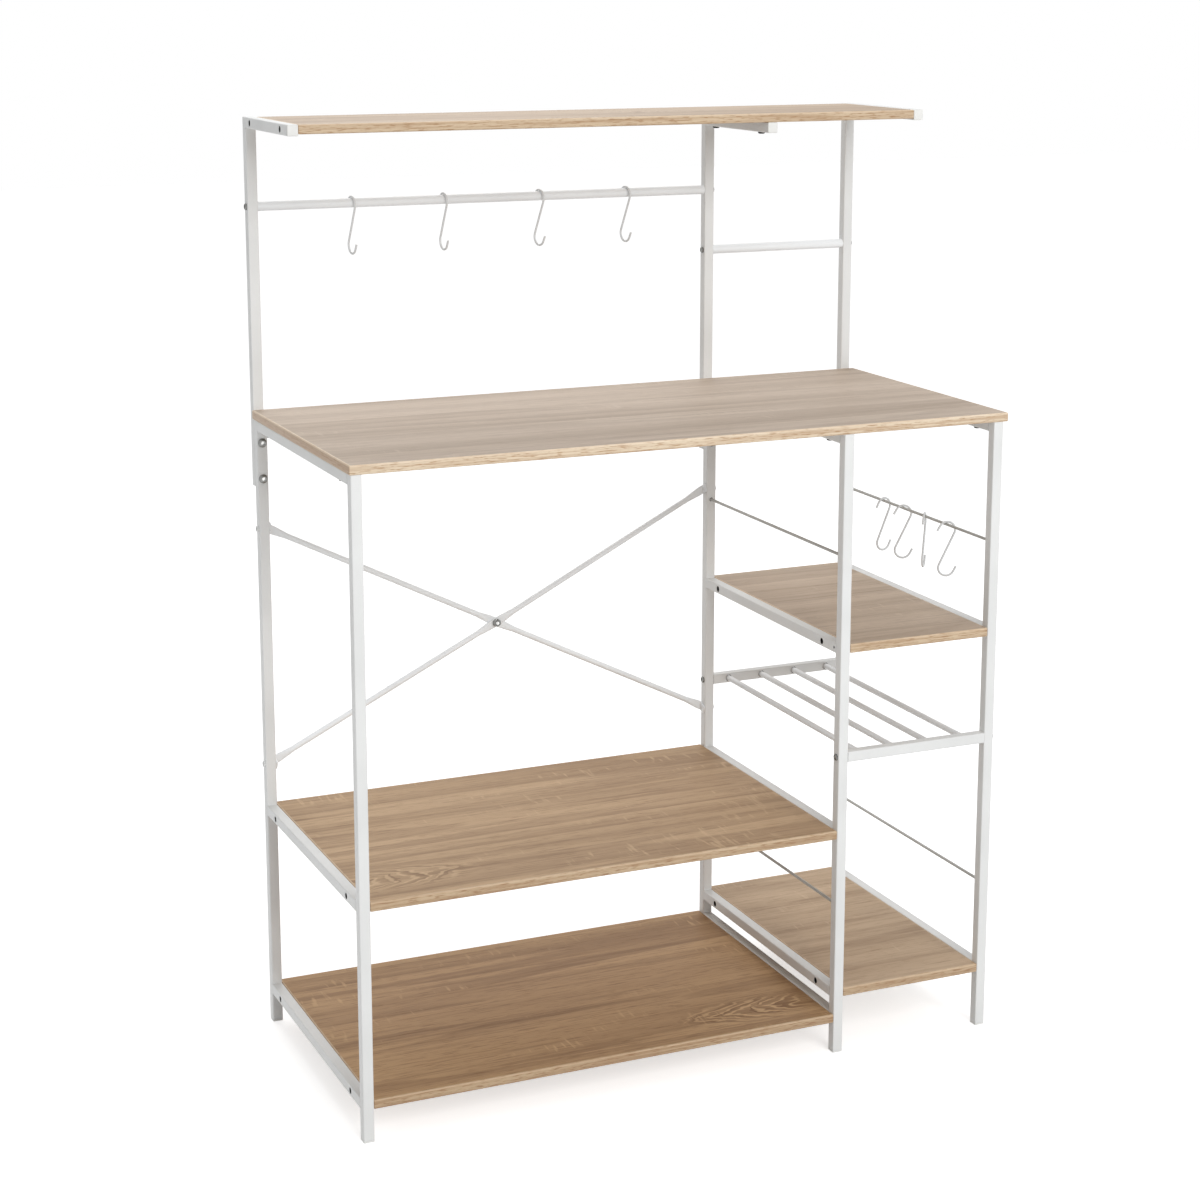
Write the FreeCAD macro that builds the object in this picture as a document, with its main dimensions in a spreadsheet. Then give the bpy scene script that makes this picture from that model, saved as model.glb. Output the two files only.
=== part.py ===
"""Kitchen rack: three white square-tube frames carrying oak boards, with an upper shelf, hook rails,
a bottle rack and a cross brace.

Frame: +X is the rack's right, +Y its back and +Z up. The origin lies on the floor, under the middle of
the rack. All sizes are millimetres.
"""
import FreeCAD, Part
import math
import os
import re

import Sketcher

# Driving sizes of the rack.
SIZES = {
    # Frames of square tube
    "frame_width": 890,
    "frame_depth": 410,
    "mid_frame_offset": 655,
    "tube_size": 14,
    "tube_wall": 1,
    "tube_corner": 1.5,
    # Heights of the board tops above the floor
    "left_lower_height": 55,
    "left_middle_height": 311,
    "right_lower_height": 90,
    "right_upper_height": 562,
    "worktop_height": 850,
    "total_height": 1230,
    # Boards
    "board_thickness": 12,
    "board_corner": 2,
    "board_edge_break": 0.6,
    "worktop_left_overhang": 2,
    "worktop_right_overhang": 6,
    "worktop_front_overhang": 2,
    "top_shelf_depth": 188,
    # Upper posts, bolted behind the rear posts
    "upper_lap_length": 90,
    "upper_bolt_drop": 30,
    "upper_bolt_pitch": 48,
    # Hook rails between the upper posts, measured down from the top shelf's upper face
    "long_rail_drop": 115,
    "short_rail_drop": 199,
    "rail_diameter": 12.5,
    "rail_wall": 1.2,
    # Guard rods above the shelves of the right bay
    "guard_rise": 115,
    "guard_diameter": 4,
    "rod_gap": 0.8,
    # Bottle rack
    "bottle_bar_height": 410,
    "bottle_rod_diameter": 8,
    "bottle_rod_pitch": 53,
    # Cross brace
    "brace_low": 368,
    "brace_high": 692,
    "brace_diameter": 8,
    "brace_flat": 2.5,
    "brace_flat_width": 12,
    "brace_flat_length": 28,
    "brace_taper": 14,
    "brace_tab_height": 18,
    "brace_heel_length": 8,
    # S hooks
    "hook_height": 78,
    "hook_wire": 3,
    "hook_bend_radius": 11,
    "hook_end": 8,
    "hook_flare": 28,
    "hook_clearance": 0.4,
    # Bolts, nuts and screws
    "bolt_shank": 5.8,
    "bolt_hole": 6.4,
    "bolt_head_diameter": 12,
    "bolt_head_height": 3.5,
    "bolt_head_round": 1.2,
    "side_head_diameter": 9,
    "side_head_height": 2.3,
    "bolt_reach": 11,
    "bolt_tail": 1,
    "nut_width": 10,
    "nut_height": 5,
    "screw_shank": 4,
    "screw_hole": 4.6,
    "screw_access": 8.4,
    "screw_head_diameter": 7.6,
    "screw_head_height": 2.6,
    "screw_reach": 15,
    "screw_inset": 38,
    "arm_screw_inset": 33,
    "under_screw_head": 9.5,
    "under_screw_reach": 9,
    "pilot_spare": 1,
    "vent_hole": 4,
    "vent_inset": 5,
    # Plugs that close the tube ends
    "plug_head": 3,
    "plug_stem": 12,
    "plug_clearance": 0.1,
}

# Places worked out from the driving sizes.
PLACES = {
    "hook_arc_reach": "(hook_bend_radius + hook_wire / 2) * cos(hook_flare * 1 deg)",
    "hook_reach": "hook_arc_reach + hook_end * sin(hook_flare * 1 deg)",
    "left_reach": "max(worktop_left_overhang; side_head_height)",
    "right_reach": "max(worktop_right_overhang; hook_reach - tube_size / 2)",
    "shift_x": "(frame_width + right_reach - left_reach) / 2",
    "rear_reach": "max(tube_size / 2; hook_reach)",
    "shift_y": "(frame_depth + tube_size / 2 + rear_reach - worktop_front_overhang) / 2",
    "left_x": "tube_size / 2 - shift_x",
    "mid_x": "mid_frame_offset + tube_size / 2 - shift_x",
    "right_x": "frame_width - tube_size / 2 - shift_x",
    "front_y": "tube_size / 2 - shift_y",
    "rear_y": "frame_depth - tube_size / 2 - shift_y",
    "upper_y": "rear_y + tube_size",
    "depth_y": "(front_y + rear_y) / 2",
    "bore_size": "tube_size - 2 * tube_wall",
    "cross_length": "frame_depth - 2 * tube_size",
    "left_bay": "mid_x - left_x - tube_size",
    "right_bay": "right_x - mid_x - tube_size",
    "left_bay_x": "(left_x + mid_x) / 2",
    "right_bay_x": "(mid_x + right_x) / 2",
    "frame_top": "worktop_height - board_thickness",
    "post_length": "frame_top - plug_head",
    "upper_foot": "frame_top - upper_lap_length",
    "upper_bolt_high": "frame_top - upper_bolt_drop",
    "upper_bolt_low": "upper_bolt_high - upper_bolt_pitch",
    "mid_top": "total_height - board_thickness",
    "long_rail_height": "total_height - long_rail_drop",
    "short_rail_height": "total_height - short_rail_drop",
    "top_shelf_front": "upper_y - tube_size / 2 - top_shelf_depth",
    "arm_front": "top_shelf_front + plug_head",
    "arm_length": "top_shelf_depth + tube_size - plug_head",
    "worktop_width": "frame_width + worktop_left_overhang + worktop_right_overhang",
    "worktop_depth": "frame_depth + worktop_front_overhang",
    "worktop_x": "(left_x + right_x + worktop_right_overhang - worktop_left_overhang) / 2",
    "worktop_y": "depth_y - worktop_front_overhang / 2",
    "upper_guard_height": "right_upper_height + guard_rise",
    "lower_guard_height": "right_lower_height + guard_rise",
    "guard_hole": "guard_diameter + 2 * rod_gap",
    "bottle_rod_hole": "bottle_rod_diameter + 2 * rod_gap",
    "rod_tuck": "tube_size - tube_wall",
    "rod_length": "cross_length + 2 * rod_tuck",
    "screw_depth": "screw_reach + pilot_spare",
    "under_screw_depth": "under_screw_reach + pilot_spare",
    "hook_centre": "(hook_height - hook_wire) / 2 - hook_bend_radius",
    "nut_radius": "nut_width / sqrt(3)",
    "rail_hang": "(hook_height - hook_wire - rail_diameter - hook_wire) / 2 - hook_clearance",
    "guard_hang": "(hook_height - hook_wire - guard_diameter - hook_wire) / 2 - hook_clearance",
}

# Where the S hooks hang: share of the rail's or rod's free length, and the turn about the vertical.
RAIL_HOOKS = [(0.20, 7), (0.40, 6), (0.615, 13), (0.815, 11)]
GUARD_HOOKS = [(0.722, 9), (0.58, -25), (0.432, 50), (0.276, -20)]
BOTTLE_RODS = 4

STANDING = FreeCAD.Rotation()
ALONG_X = FreeCAD.Rotation(FreeCAD.Vector(0, 1, 0), 90)
ALONG_Y = FreeCAD.Rotation(FreeCAD.Vector(1, 0, 0), -90)

LEFT, RIGHT = (-1, 0, 0), (1, 0, 0)
FRONT, BACK = (0, -1, 0), (0, 1, 0)
DOWN, UP = (0, 0, -1), (0, 0, 1)

doc = FreeCAD.newDocument("kitchen_rack")
sheet = doc.addObject("Spreadsheet::Sheet", "dims")
nodes = []


def fill_sheet():
    """Write the driving sizes and the places into the sheet, each under its alias."""
    cells = list(SIZES.items()) + [(name, "=" + formula) for name, formula in PLACES.items()]
    for row, (name, content) in enumerate(cells, start=1):
        sheet.set(f"A{row}", name)
        sheet.set(f"B{row}", str(content))
        sheet.setAlias(f"B{row}", name)
    doc.recompute()


def size(name):
    """Value of a sheet cell."""
    return float(sheet.get(name))


def linked(text):
    """Expression with each alias in it prefixed by the sheet's name."""
    return re.sub(r"\b[a-z]+_\w+", r"dims.\g<0>", text)


def bind(thing, prop, text):
    thing.setExpression(prop, linked(text))


def place(thing, at, turn=STANDING):
    """Turn a piece and bind its position to the sheet."""
    thing.Placement = FreeCAD.Placement(FreeCAD.Vector(), turn)
    for axis, text in zip("xyz", at):
        bind(thing, f"Placement.Base.{axis}", text)


def new_body(label, keep=True):
    body = doc.addObject("PartDesign::Body", label)
    body.Label = label
    if keep:
        nodes.append(body)
    return body


def new_sketch(body, role, offset=None):
    """Sketch on one of the body's own origin planes, or parallel to it at an offset."""
    sketch = body.newObject("Sketcher::SketchObject", body.Name + "_sketch")
    plane = next(feature for feature in body.Origin.OriginFeatures if feature.Role == role)
    sketch.AttachmentSupport = (plane, [""])
    sketch.MapMode = "FlatFace"
    if offset:
        bind(sketch, "AttachmentOffset.Base.z", offset)
    return sketch


def fix(sketch, kind, *where_and_text):
    """Add a dimension whose value comes from the sheet."""
    *where, text = where_and_text
    index = sketch.addConstraint(Sketcher.Constraint(kind, *where, 1.0))
    bind(sketch, f"Constraints[{index}]", text)


def add_polygon(sketch, corners):
    """Closed polygon whose corners are pairs of expressions."""
    count = len(corners)
    start = [FreeCAD.Vector(math.cos(2 * math.pi * i / count), math.sin(2 * math.pi * i / count), 0)
             for i in range(count)]
    lines = [sketch.addGeometry(Part.LineSegment(start[i], start[(i + 1) % count]))
             for i in range(count)]
    for i, (across, up) in enumerate(corners):
        sketch.addConstraint(Sketcher.Constraint("Coincident", lines[i - 1], 2, lines[i], 1))
        fix(sketch, "DistanceX", -1, 1, lines[i], 1, across)
        fix(sketch, "DistanceY", -1, 1, lines[i], 1, up)


def add_rectangle(sketch, width, height):
    """Rectangle about the sketch's origin."""
    across, up = f"({width}) / 2", f"({height}) / 2"
    add_polygon(sketch, [(f"-{across}", f"-{up}"), (across, f"-{up}"), (across, up), (f"-{across}", up)])


def add_circle(sketch, diameter, across="0", up="0"):
    circle = sketch.addGeometry(Part.Circle(FreeCAD.Vector(1, 1, 0), FreeCAD.Vector(0, 0, 1), 1))
    fix(sketch, "Diameter", circle, diameter)
    fix(sketch, "DistanceX", -1, 1, circle, 3, across)
    fix(sketch, "DistanceY", -1, 1, circle, 3, up)


def pad(body, sketch, length):
    feature = body.newObject("PartDesign::Pad", body.Name + "_pad")
    feature.Profile = sketch
    bind(feature, "Length", length)
    doc.recompute()
    return feature


def pocket(body, sketch, length=None, flipped=False):
    """Cut a sketch to a depth on one side of its plane, or through all on both sides."""
    before = body.Shape.Volume
    feature = body.newObject("PartDesign::Pocket", body.Name + "_pocket")
    feature.Profile = sketch
    if length:
        bind(feature, "Length", length)
        feature.Reversed = flipped
    else:
        feature.Type = "ThroughAll"
        feature.SideType = "Symmetric"
    doc.recompute()
    if body.Shape.Volume >= before:
        raise RuntimeError(f"{body.Label}: a pocket cuts nothing")


def dress_edges(body, kind, prop, value, wanted):
    """Fillet or chamfer the edges of the body's last feature that the test picks."""
    base = body.Tip
    names = [f"Edge{i}" for i, edge in enumerate(base.Shape.Edges, start=1) if wanted(edge)]
    feature = body.newObject(f"PartDesign::{kind}", f"{body.Name}_{kind}")
    feature.Base = (base, names)
    bind(feature, prop, value)
    doc.recompute()


def round_edges(body, radius, wanted):
    dress_edges(body, "Fillet", "Radius", radius, wanted)


def break_edges(body, width, wanted):
    dress_edges(body, "Chamfer", "Size", width, wanted)


def runs_along_z(edge):
    first, last = edge.Vertexes[0].Point, edge.Vertexes[-1].Point
    return math.hypot(first.x - last.x, first.y - last.y) < 1e-6


def outer_corner(edge):
    """Whether an edge is one of the four outer corners of a square tube."""
    point = edge.Vertexes[0].Point
    return runs_along_z(edge) and min(abs(point.x), abs(point.y)) > size("bore_size") / 2 + 1e-6


def square_tube(label, length, at, turn=STANDING, mitre=None):
    """Hollow square tube along its own Z. A mitre of 1 or -1 slants its far end away from that side of Y."""
    body = new_body(label)
    profile = new_sketch(body, "XY_Plane")
    add_rectangle(profile, "tube_size", "tube_size")
    add_rectangle(profile, "bore_size", "bore_size")
    pad(body, profile, length)
    round_edges(body, "tube_corner", outer_corner)
    if mitre:
        near, far = f"({mitre}) * tube_size / 2", f"({-mitre}) * tube_size / 2"
        corner = new_sketch(body, "YZ_Plane")
        add_polygon(corner, [(near, f"{length} - tube_size"), (near, length), (far, length)])
        pocket(body, corner)
    place(body, at, turn)
    return body


def drill(body, across, diameter, stations, side="both"):
    """Drill a tube across its own X or Y at stations along it, through both walls or those on one side."""
    sketch = new_sketch(body, "YZ_Plane" if across == "x" else "XZ_Plane")
    for station in stations:
        add_circle(sketch, diameter, up=station)
    if side == "both":
        pocket(body, sketch)
    else:
        pocket(body, sketch, "tube_size", flipped=(side == "plus") == (across == "x"))


def round_bar(label, length, diameter, at, turn, bore=None):
    """Round bar along its own Z, hollow where a bore is given."""
    body = new_body(label)
    profile = new_sketch(body, "XY_Plane")
    add_circle(profile, diameter)
    if bore:
        add_circle(profile, bore)
    pad(body, profile, length)
    place(body, at, turn)


def make_frames():
    """Posts and cross bars of the three side frames."""
    pair = ["screw_inset", "cross_length - screw_inset"]
    top_pair = ["upper_bolt_high - plug_head", "upper_bolt_low - plug_head"]
    brace_pair = ["brace_low - plug_head", "brace_high - plug_head"]
    bottle = ["bottle_bar_height - plug_head"]
    guards = ["upper_guard_height - plug_head", "lower_guard_height - plug_head"]
    side_holes = {
        "left_rear": brace_pair,
        "mid_front": bottle,
        "mid_rear": brace_pair + bottle,
        "right_front": bottle,
        "right_rear": bottle,
    }
    for side in ("left", "mid", "right"):
        for end in ("front", "rear"):
            post = square_tube(f"post_{side}_{end}", "post_length", (f"{side}_x", f"{end}_y", "plug_head"))
            if f"{side}_{end}" in side_holes:
                drill(post, "x", "bolt_hole", side_holes[f"{side}_{end}"])
            if end == "rear":
                drill(post, "y", "bolt_hole", top_pair)
            if side != "left":
                drill(post, "y", "guard_hole", guards, side="minus" if end == "rear" else "plus")
        bar = cross_bar(f"bar_{side}_top", side, "frame_top")
        drill(bar, "y", "screw_hole", pair)
    shelf_bars = [
        ("bar_left_middle", "left", "left_middle_height", "minus"),
        ("bar_left_lower", "left", "left_lower_height", "minus"),
        ("bar_mid_for_left_middle", "mid", "left_middle_height", "plus"),
        ("bar_mid_for_left_lower", "mid", "left_lower_height", "plus"),
        ("bar_mid_for_right_upper", "mid", "right_upper_height", "minus"),
        ("bar_mid_for_right_lower", "mid", "right_lower_height", "minus"),
        ("bar_right_upper", "right", "right_upper_height", "plus"),
        ("bar_right_lower", "right", "right_lower_height", "plus"),
    ]
    for label, side, height, outside in shelf_bars:
        bar = cross_bar(label, side, height)
        drill(bar, "x", "screw_access", pair, side=outside)
        drill(bar, "x", "screw_hole", pair, side="plus" if outside == "minus" else "minus")
        if label == "bar_mid_for_right_upper":
            drill(bar, "x", "vent_hole", ["vent_inset"], side=outside)


def cross_bar(label, side, top):
    """Bar between the front and rear post of one frame, its top at the given height."""
    at = (f"{side}_x", "front_y + tube_size / 2", f"{top} - tube_size / 2")
    return square_tube(label, "cross_length", at, ALONG_Y)


def make_upper_frame():
    """Upper posts with their mitred shelf arms, and the two hook rails."""
    rails = {
        "left": ["long_rail_height - upper_foot"],
        "mid": ["long_rail_height - upper_foot", "short_rail_height - upper_foot"],
        "right": ["short_rail_height - upper_foot"],
    }
    lap_pair = ["upper_bolt_high - upper_foot", "upper_bolt_low - upper_foot"]
    arm_pair = ["arm_screw_inset - plug_head", "arm_length - arm_screw_inset"]
    for side, stations in rails.items():
        top = "mid_top" if side == "mid" else "total_height"
        foot = (f"{side}_x", "upper_y", "upper_foot")
        post = square_tube(f"upper_post_{side}", f"{top} - upper_foot", foot, mitre=-1)
        drill(post, "x", "bolt_hole", stations)
        drill(post, "y", "bolt_hole", lap_pair, side="minus")
        front = (f"{side}_x", "arm_front", f"{top} - tube_size / 2")
        arm = square_tube(f"shelf_arm_{side}", "arm_length", front, ALONG_Y, mitre=1)
        if side == "mid":
            drill(arm, "y", "screw_hole", arm_pair)
        else:
            outside, inside = ("minus", "plus") if side == "left" else ("plus", "minus")
            drill(arm, "x", "screw_access", arm_pair, side=outside)
            drill(arm, "x", "screw_hole", arm_pair, side=inside)
    bore = "rail_diameter - 2 * rail_wall"
    round_bar("hook_rail_long", "left_bay", "rail_diameter",
              ("left_x + tube_size / 2", "upper_y", "long_rail_height"), ALONG_X, bore)
    round_bar("hook_rail_short", "right_bay", "rail_diameter",
              ("mid_x + tube_size / 2", "upper_y", "short_rail_height"), ALONG_X, bore)


def make_right_bay():
    """Guard rods above the right shelves, and the bottle rack between the mid and right frames.
    Every rod passes through holes in the inner walls and ends on the outer walls of the tubes that hold it.
    """
    rod_start = "front_y + tube_size / 2 - rod_tuck"
    for side in ("mid", "right"):
        for level in ("upper", "lower"):
            round_bar(f"guard_rod_{side}_{level}", "rod_length", "guard_diameter",
                      (f"{side}_x", rod_start, f"{level}_guard_height"), ALONG_Y)
    steps = [number - (BOTTLE_RODS - 1) / 2 for number in range(BOTTLE_RODS)]
    for end in ("front", "rear"):
        start = ("mid_x + tube_size / 2", f"{end}_y", "bottle_bar_height")
        bar = square_tube(f"bottle_bar_{end}", "right_bay", start, ALONG_X)
        drill(bar, "y", "bottle_rod_hole", [f"right_bay / 2 + ({step}) * bottle_rod_pitch" for step in steps],
              side="minus" if end == "rear" else "plus")
    for number, step in enumerate(steps, start=1):
        start = (f"right_bay_x + ({step}) * bottle_rod_pitch", rod_start, "bottle_bar_height")
        round_bar(f"bottle_rod_{number}", "rod_length", "bottle_rod_diameter", start, ALONG_Y)


def board(label, width, depth, at):
    """Board lying flat, its underside at the placed height, with rounded corners and broken edges."""
    body = new_body(label)
    outline = new_sketch(body, "XY_Plane")
    add_rectangle(outline, width, depth)
    pad(body, outline, "board_thickness")
    round_edges(body, "board_corner", runs_along_z)
    break_edges(body, "board_edge_break", lambda edge: not runs_along_z(edge))
    place(body, at)
    return body


def pilot_ends(body, width, stations, level):
    """Screw holes in both ends of a board, at stations along its depth."""
    for sign, flipped in (("-", True), ("", False)):
        sketch = new_sketch(body, "YZ_Plane", f"{sign}({width}) / 2")
        for station in stations:
            add_circle(sketch, "screw_hole", station, level)
        pocket(body, sketch, "screw_depth", flipped)


def pilot_underside(body, places):
    """Screw holes in the underside of a board."""
    sketch = new_sketch(body, "XY_Plane")
    for across, up in places:
        add_circle(sketch, "screw_hole", across, up)
    pocket(body, sketch, "under_screw_depth", flipped=True)


def make_boards():
    """Worktop, top shelf and the four shelves."""
    inset = "(cross_length / 2 - screw_inset)"
    shelves = [
        ("shelf_left_middle", "left", "left_middle_height"),
        ("shelf_left_lower", "left", "left_lower_height"),
        ("shelf_right_upper", "right", "right_upper_height"),
        ("shelf_right_lower", "right", "right_lower_height"),
    ]
    level = "board_thickness - tube_size / 2"
    for label, bay, height in shelves:
        middle = (f"{bay}_bay_x", "depth_y", f"{height} - board_thickness")
        shelf = board(label, f"{bay}_bay", "frame_depth", middle)
        pilot_ends(shelf, f"{bay}_bay", [f"-{inset}", inset], level)

    worktop = board("worktop", "worktop_width", "worktop_depth", ("worktop_x", "worktop_y", "frame_top"))
    pilot_underside(worktop, [(f"{side}_x - worktop_x", f"{sign}{inset} + worktop_front_overhang / 2")
                              for side in ("left", "mid", "right") for sign in ("-", "")])

    width = "frame_width - 2 * tube_size"
    centre = "top_shelf_front + top_shelf_depth / 2"
    front, rear = "arm_screw_inset", "arm_length + plug_head - arm_screw_inset"
    stations = [f"{station} - top_shelf_depth / 2" for station in (front, rear)]
    shelf = board("top_shelf", width, "top_shelf_depth", ("(left_x + right_x) / 2", centre, "mid_top"))
    pilot_ends(shelf, width, stations, level)
    pilot_underside(shelf, [("mid_x - (left_x + right_x) / 2", station) for station in stations])


def four_arcs(centre, axis, across, radius):
    """Circle wire of four arcs about an axis, whose first corner lies between the two section directions."""
    up = axis.cross(across)
    points = [centre + (across * math.cos(turn) + up * math.sin(turn)) * radius
              for turn in (math.pi / 4 * step for step in range(1, 10))]
    return Part.Wire([Part.Arc(*points[i:i + 3]).toShape() for i in (0, 2, 4, 6)])


def rectangle_wire(centre, axis, across, width, height):
    up = axis.cross(across)
    corners = [centre + across * (width / 2 * i) + up * (height / 2 * j)
               for i, j in ((1, 1), (-1, 1), (-1, -1), (1, -1))]
    return Part.makePolygon(corners + corners[:1])


def bar_along(start, axis, across, length, width, height):
    """Straight flat bar from a start point along an axis."""
    return Part.Face(rectangle_wire(start, axis, across, width, height)).extrude(axis * length)


def make_brace(label, rise, lean):
    """Tube brace across the back of the left bay, flattened at its crossing and bent into a bolting tab
    at each end. Its rise is 1 where it climbs to the right and -1 where it falls; its lean is the side,
    front or back, on which it passes the other brace.
    """
    flat, width = size("brace_flat"), size("brace_flat_width")
    radius, tab = size("brace_diameter") / 2, size("brace_tab_height")
    half_flat, taper, heel = size("brace_flat_length") / 2, size("brace_taper"), size("brace_heel_length")
    inner = size("tube_size") / 2
    y = size("rear_y") + lean * flat / 2
    middle = FreeCAD.Vector(size("left_bay_x"), y, (size("brace_low") + size("brace_high")) / 2)
    back = FreeCAD.Vector(0, 1, 0)
    up = FreeCAD.Vector(0, 0, 1)
    solids = []
    for side, face_x in ((-1, size("left_x") + inner), (1, size("mid_x") - inner)):
        high = side * rise > 0
        bolt = FreeCAD.Vector(face_x, size("rear_y"), size("brace_high" if high else "brace_low"))
        outward = up if high else -up
        bend = FreeCAD.Vector(face_x - side * flat / 2, y, bolt.z) - outward * (tab / 2)
        axis = (bend - middle).normalize()
        length = (bend - middle).Length
        across = back.cross(axis)
        flat_end = middle + axis * half_flat
        round_start = middle + axis * (half_flat + taper)
        round_end = middle + axis * (length - heel - taper)
        heel_start = middle + axis * (length - heel)
        ring_in = four_arcs(round_start, axis, across, radius)
        ring_out = four_arcs(round_end, axis, across, radius)
        solids += [
            bar_along(middle, axis, across, half_flat, width, flat),
            Part.makeLoft([rectangle_wire(flat_end, axis, across, width, flat), ring_in], True, True),
            Part.Face(ring_in).extrude(round_end - round_start),
            Part.makeLoft([ring_out, rectangle_wire(heel_start, axis, across, flat, width)], True, True),
            bar_along(heel_start, axis, across, heel, flat, width),
            Part.makeCylinder(flat / 2, width, bend - back * (width / 2), back),
            bar_along(bend, outward, FreeCAD.Vector(1, 0, 0), tab, flat, width),
        ]
    shape = solids[0].multiFuse(solids[1:]).removeSplitter()
    hole, reach = size("bolt_hole") / 2, 2 * width
    for face_x, high in ((size("left_x") + inner, rise < 0), (size("mid_x") - inner, rise > 0)):
        bolt = FreeCAD.Vector(face_x - reach / 2, size("rear_y"), size("brace_high" if high else "brace_low"))
        shape = shape.cut(Part.makeCylinder(hole, reach, bolt, FreeCAD.Vector(1, 0, 0)))
    shape = shape.cut(Part.makeCylinder(hole, reach, middle - back * (reach / 2), back))
    add_shape(label, shape)


def add_shape(label, shape):
    """Piece whose shape is made directly from the sheet's sizes."""
    feature = doc.addObject("Part::Feature", label)
    feature.Label = label
    feature.Shape = shape
    feature.Placement = FreeCAD.Placement()
    nodes.append(feature)


def make_hook(label, at, turn):
    """S hook of bent wire in its own XZ plane, its middle at its origin and its ends flared outwards."""
    body = new_body(label)
    path = new_sketch(body, "XZ_Plane")
    bend, centre, end = size("hook_bend_radius"), size("hook_centre"), size("hook_end")
    flare, slope = math.radians(size("hook_flare")), math.asin(bend / centre)
    up = FreeCAD.Vector(0, 0, 1)
    low = FreeCAD.Vector(0, -centre, 0)
    touch = low + FreeCAD.Vector(-math.cos(slope), math.sin(slope), 0) * bend
    turn_off = low + FreeCAD.Vector(math.cos(flare), -math.sin(flare), 0) * bend
    tip = turn_off + FreeCAD.Vector(math.sin(flare), math.cos(flare), 0) * end
    upper_end = path.addGeometry(Part.LineSegment(-tip, -turn_off))
    upper_bend, lower_bend = Part.Circle(-low, up, bend), Part.Circle(low, up, bend)
    upper = path.addGeometry(Part.ArcOfCircle(upper_bend, -slope, math.pi - flare))
    shank = path.addGeometry(Part.LineSegment(-touch, touch))
    lower = path.addGeometry(Part.ArcOfCircle(lower_bend, math.pi - slope, 2 * math.pi - flare))
    lower_end = path.addGeometry(Part.LineSegment(turn_off, tip))
    for first, first_end, second, second_end in (
        (upper_end, 2, upper, 2), (upper, 1, shank, 1), (shank, 2, lower, 1), (lower, 2, lower_end, 1),
    ):
        path.addConstraint(Sketcher.Constraint("Tangent", first, first_end, second, second_end))
    for arc, height in ((upper, "hook_centre"), (lower, "-hook_centre")):
        path.addConstraint(Sketcher.Constraint("PointOnObject", arc, 3, -2))
        fix(path, "DistanceY", -1, 1, arc, 3, height)
        fix(path, "Radius", arc, "hook_bend_radius")
    for straight in (upper_end, lower_end):
        fix(path, "Distance", straight, "hook_end")
        fix(path, "Angle", straight, "(90 - hook_flare) * 1 deg")
    section = body.newObject("Sketcher::SketchObject", label + "_section")
    section.AttachmentSupport = (path, ["Edge1"])
    section.MapMode = "NormalToEdge"
    add_circle(section, "hook_wire")
    doc.recompute()
    wire = body.newObject("PartDesign::AdditivePipe", label + "_wire")
    wire.Profile = section
    wire.Spine = (path, [""])
    doc.recompute()
    place(body, at, FreeCAD.Rotation(up, turn))


def make_hooks():
    """Four S hooks on the long rail, and four on the upper guard rod of the right frame."""
    for number, (share, turn) in enumerate(RAIL_HOOKS, start=1):
        at = (f"left_x + tube_size / 2 + {share} * left_bay", "upper_y", "long_rail_height - rail_hang")
        make_hook(f"rail_hook_{number}", at, turn - 90)
    for number, (share, turn) in enumerate(GUARD_HOOKS, start=1):
        along = f"front_y + tube_size / 2 + {share} * cross_length"
        at = ("right_x", along, "upper_guard_height - guard_hang")
        make_hook(f"guard_hook_{number}", at, turn)


def turned(label, outline):
    """Solid of revolution about its own Z, from an outline of radius and height pairs."""
    body = new_body(label, keep=False)
    sketch = new_sketch(body, "XZ_Plane")
    add_polygon(sketch, outline)
    feature = body.newObject("PartDesign::Revolution", label + "_turn")
    feature.Profile = sketch
    feature.ReferenceAxis = (sketch, ["V_Axis"])
    doc.recompute()
    return body


def bolt(label, shank, kind="bolt"):
    """Pan-head bolt whose shank runs down from its seat at the origin. A side bolt has the smaller head."""
    head, height, edge = f"{kind}_head_diameter / 2", f"{kind}_head_height", "bolt_head_round"
    return turned(label, [
        ("0", f"-({shank})"), ("bolt_shank / 2", f"-({shank})"), ("bolt_shank / 2", "0"), (head, "0"),
        (head, f"{height} - {edge}"), (f"{head} - {edge}", height), ("0", height),
    ])


def screw(label, head, shank):
    """Pan-head screw whose shank runs down from its seat at the origin to a point."""
    return turned(label, [
        ("0", f"-({shank})"), ("screw_shank / 2", f"screw_shank - ({shank})"), ("screw_shank / 2", "0"),
        (f"{head} / 2", "0"), (f"{head} / 3", "screw_head_height"), ("0", "screw_head_height"),
    ])


def nut():
    """Hexagon nut standing on its seat at the origin."""
    body = new_body("nut_pattern", keep=False)
    sketch = new_sketch(body, "XY_Plane")
    turns = [f"{60 * step} deg" for step in range(6)]
    add_polygon(sketch, [(f"nut_radius * cos({turn})", f"nut_radius * sin({turn})") for turn in turns])
    add_circle(sketch, "bolt_hole")
    pad(body, sketch, "nut_height")
    return body


def plug():
    """Tube plug whose head stands below its seat at the origin and whose stem fills the bore above it."""
    body = new_body("plug_pattern", keep=False)
    head = new_sketch(body, "XY_Plane", "-plug_head")
    add_rectangle(head, "tube_size", "tube_size")
    pad(body, head, "plug_head")
    round_edges(body, "tube_corner", runs_along_z)
    stem = new_sketch(body, "XY_Plane")
    width = "bore_size - 2 * plug_clearance"
    add_rectangle(stem, width, width)
    pad(body, stem, "plug_stem")
    return body


def seat(pattern, x, y, z, heading):
    """Copy of a pattern's solid at a point, its own +Z turned to a heading."""
    turn = FreeCAD.Rotation(FreeCAD.Vector(0, 0, 1), FreeCAD.Vector(*heading))
    copy = pattern.Shape.copy()
    copy.Placement = FreeCAD.Placement(FreeCAD.Vector(x, y, z), turn)
    return copy


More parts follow.
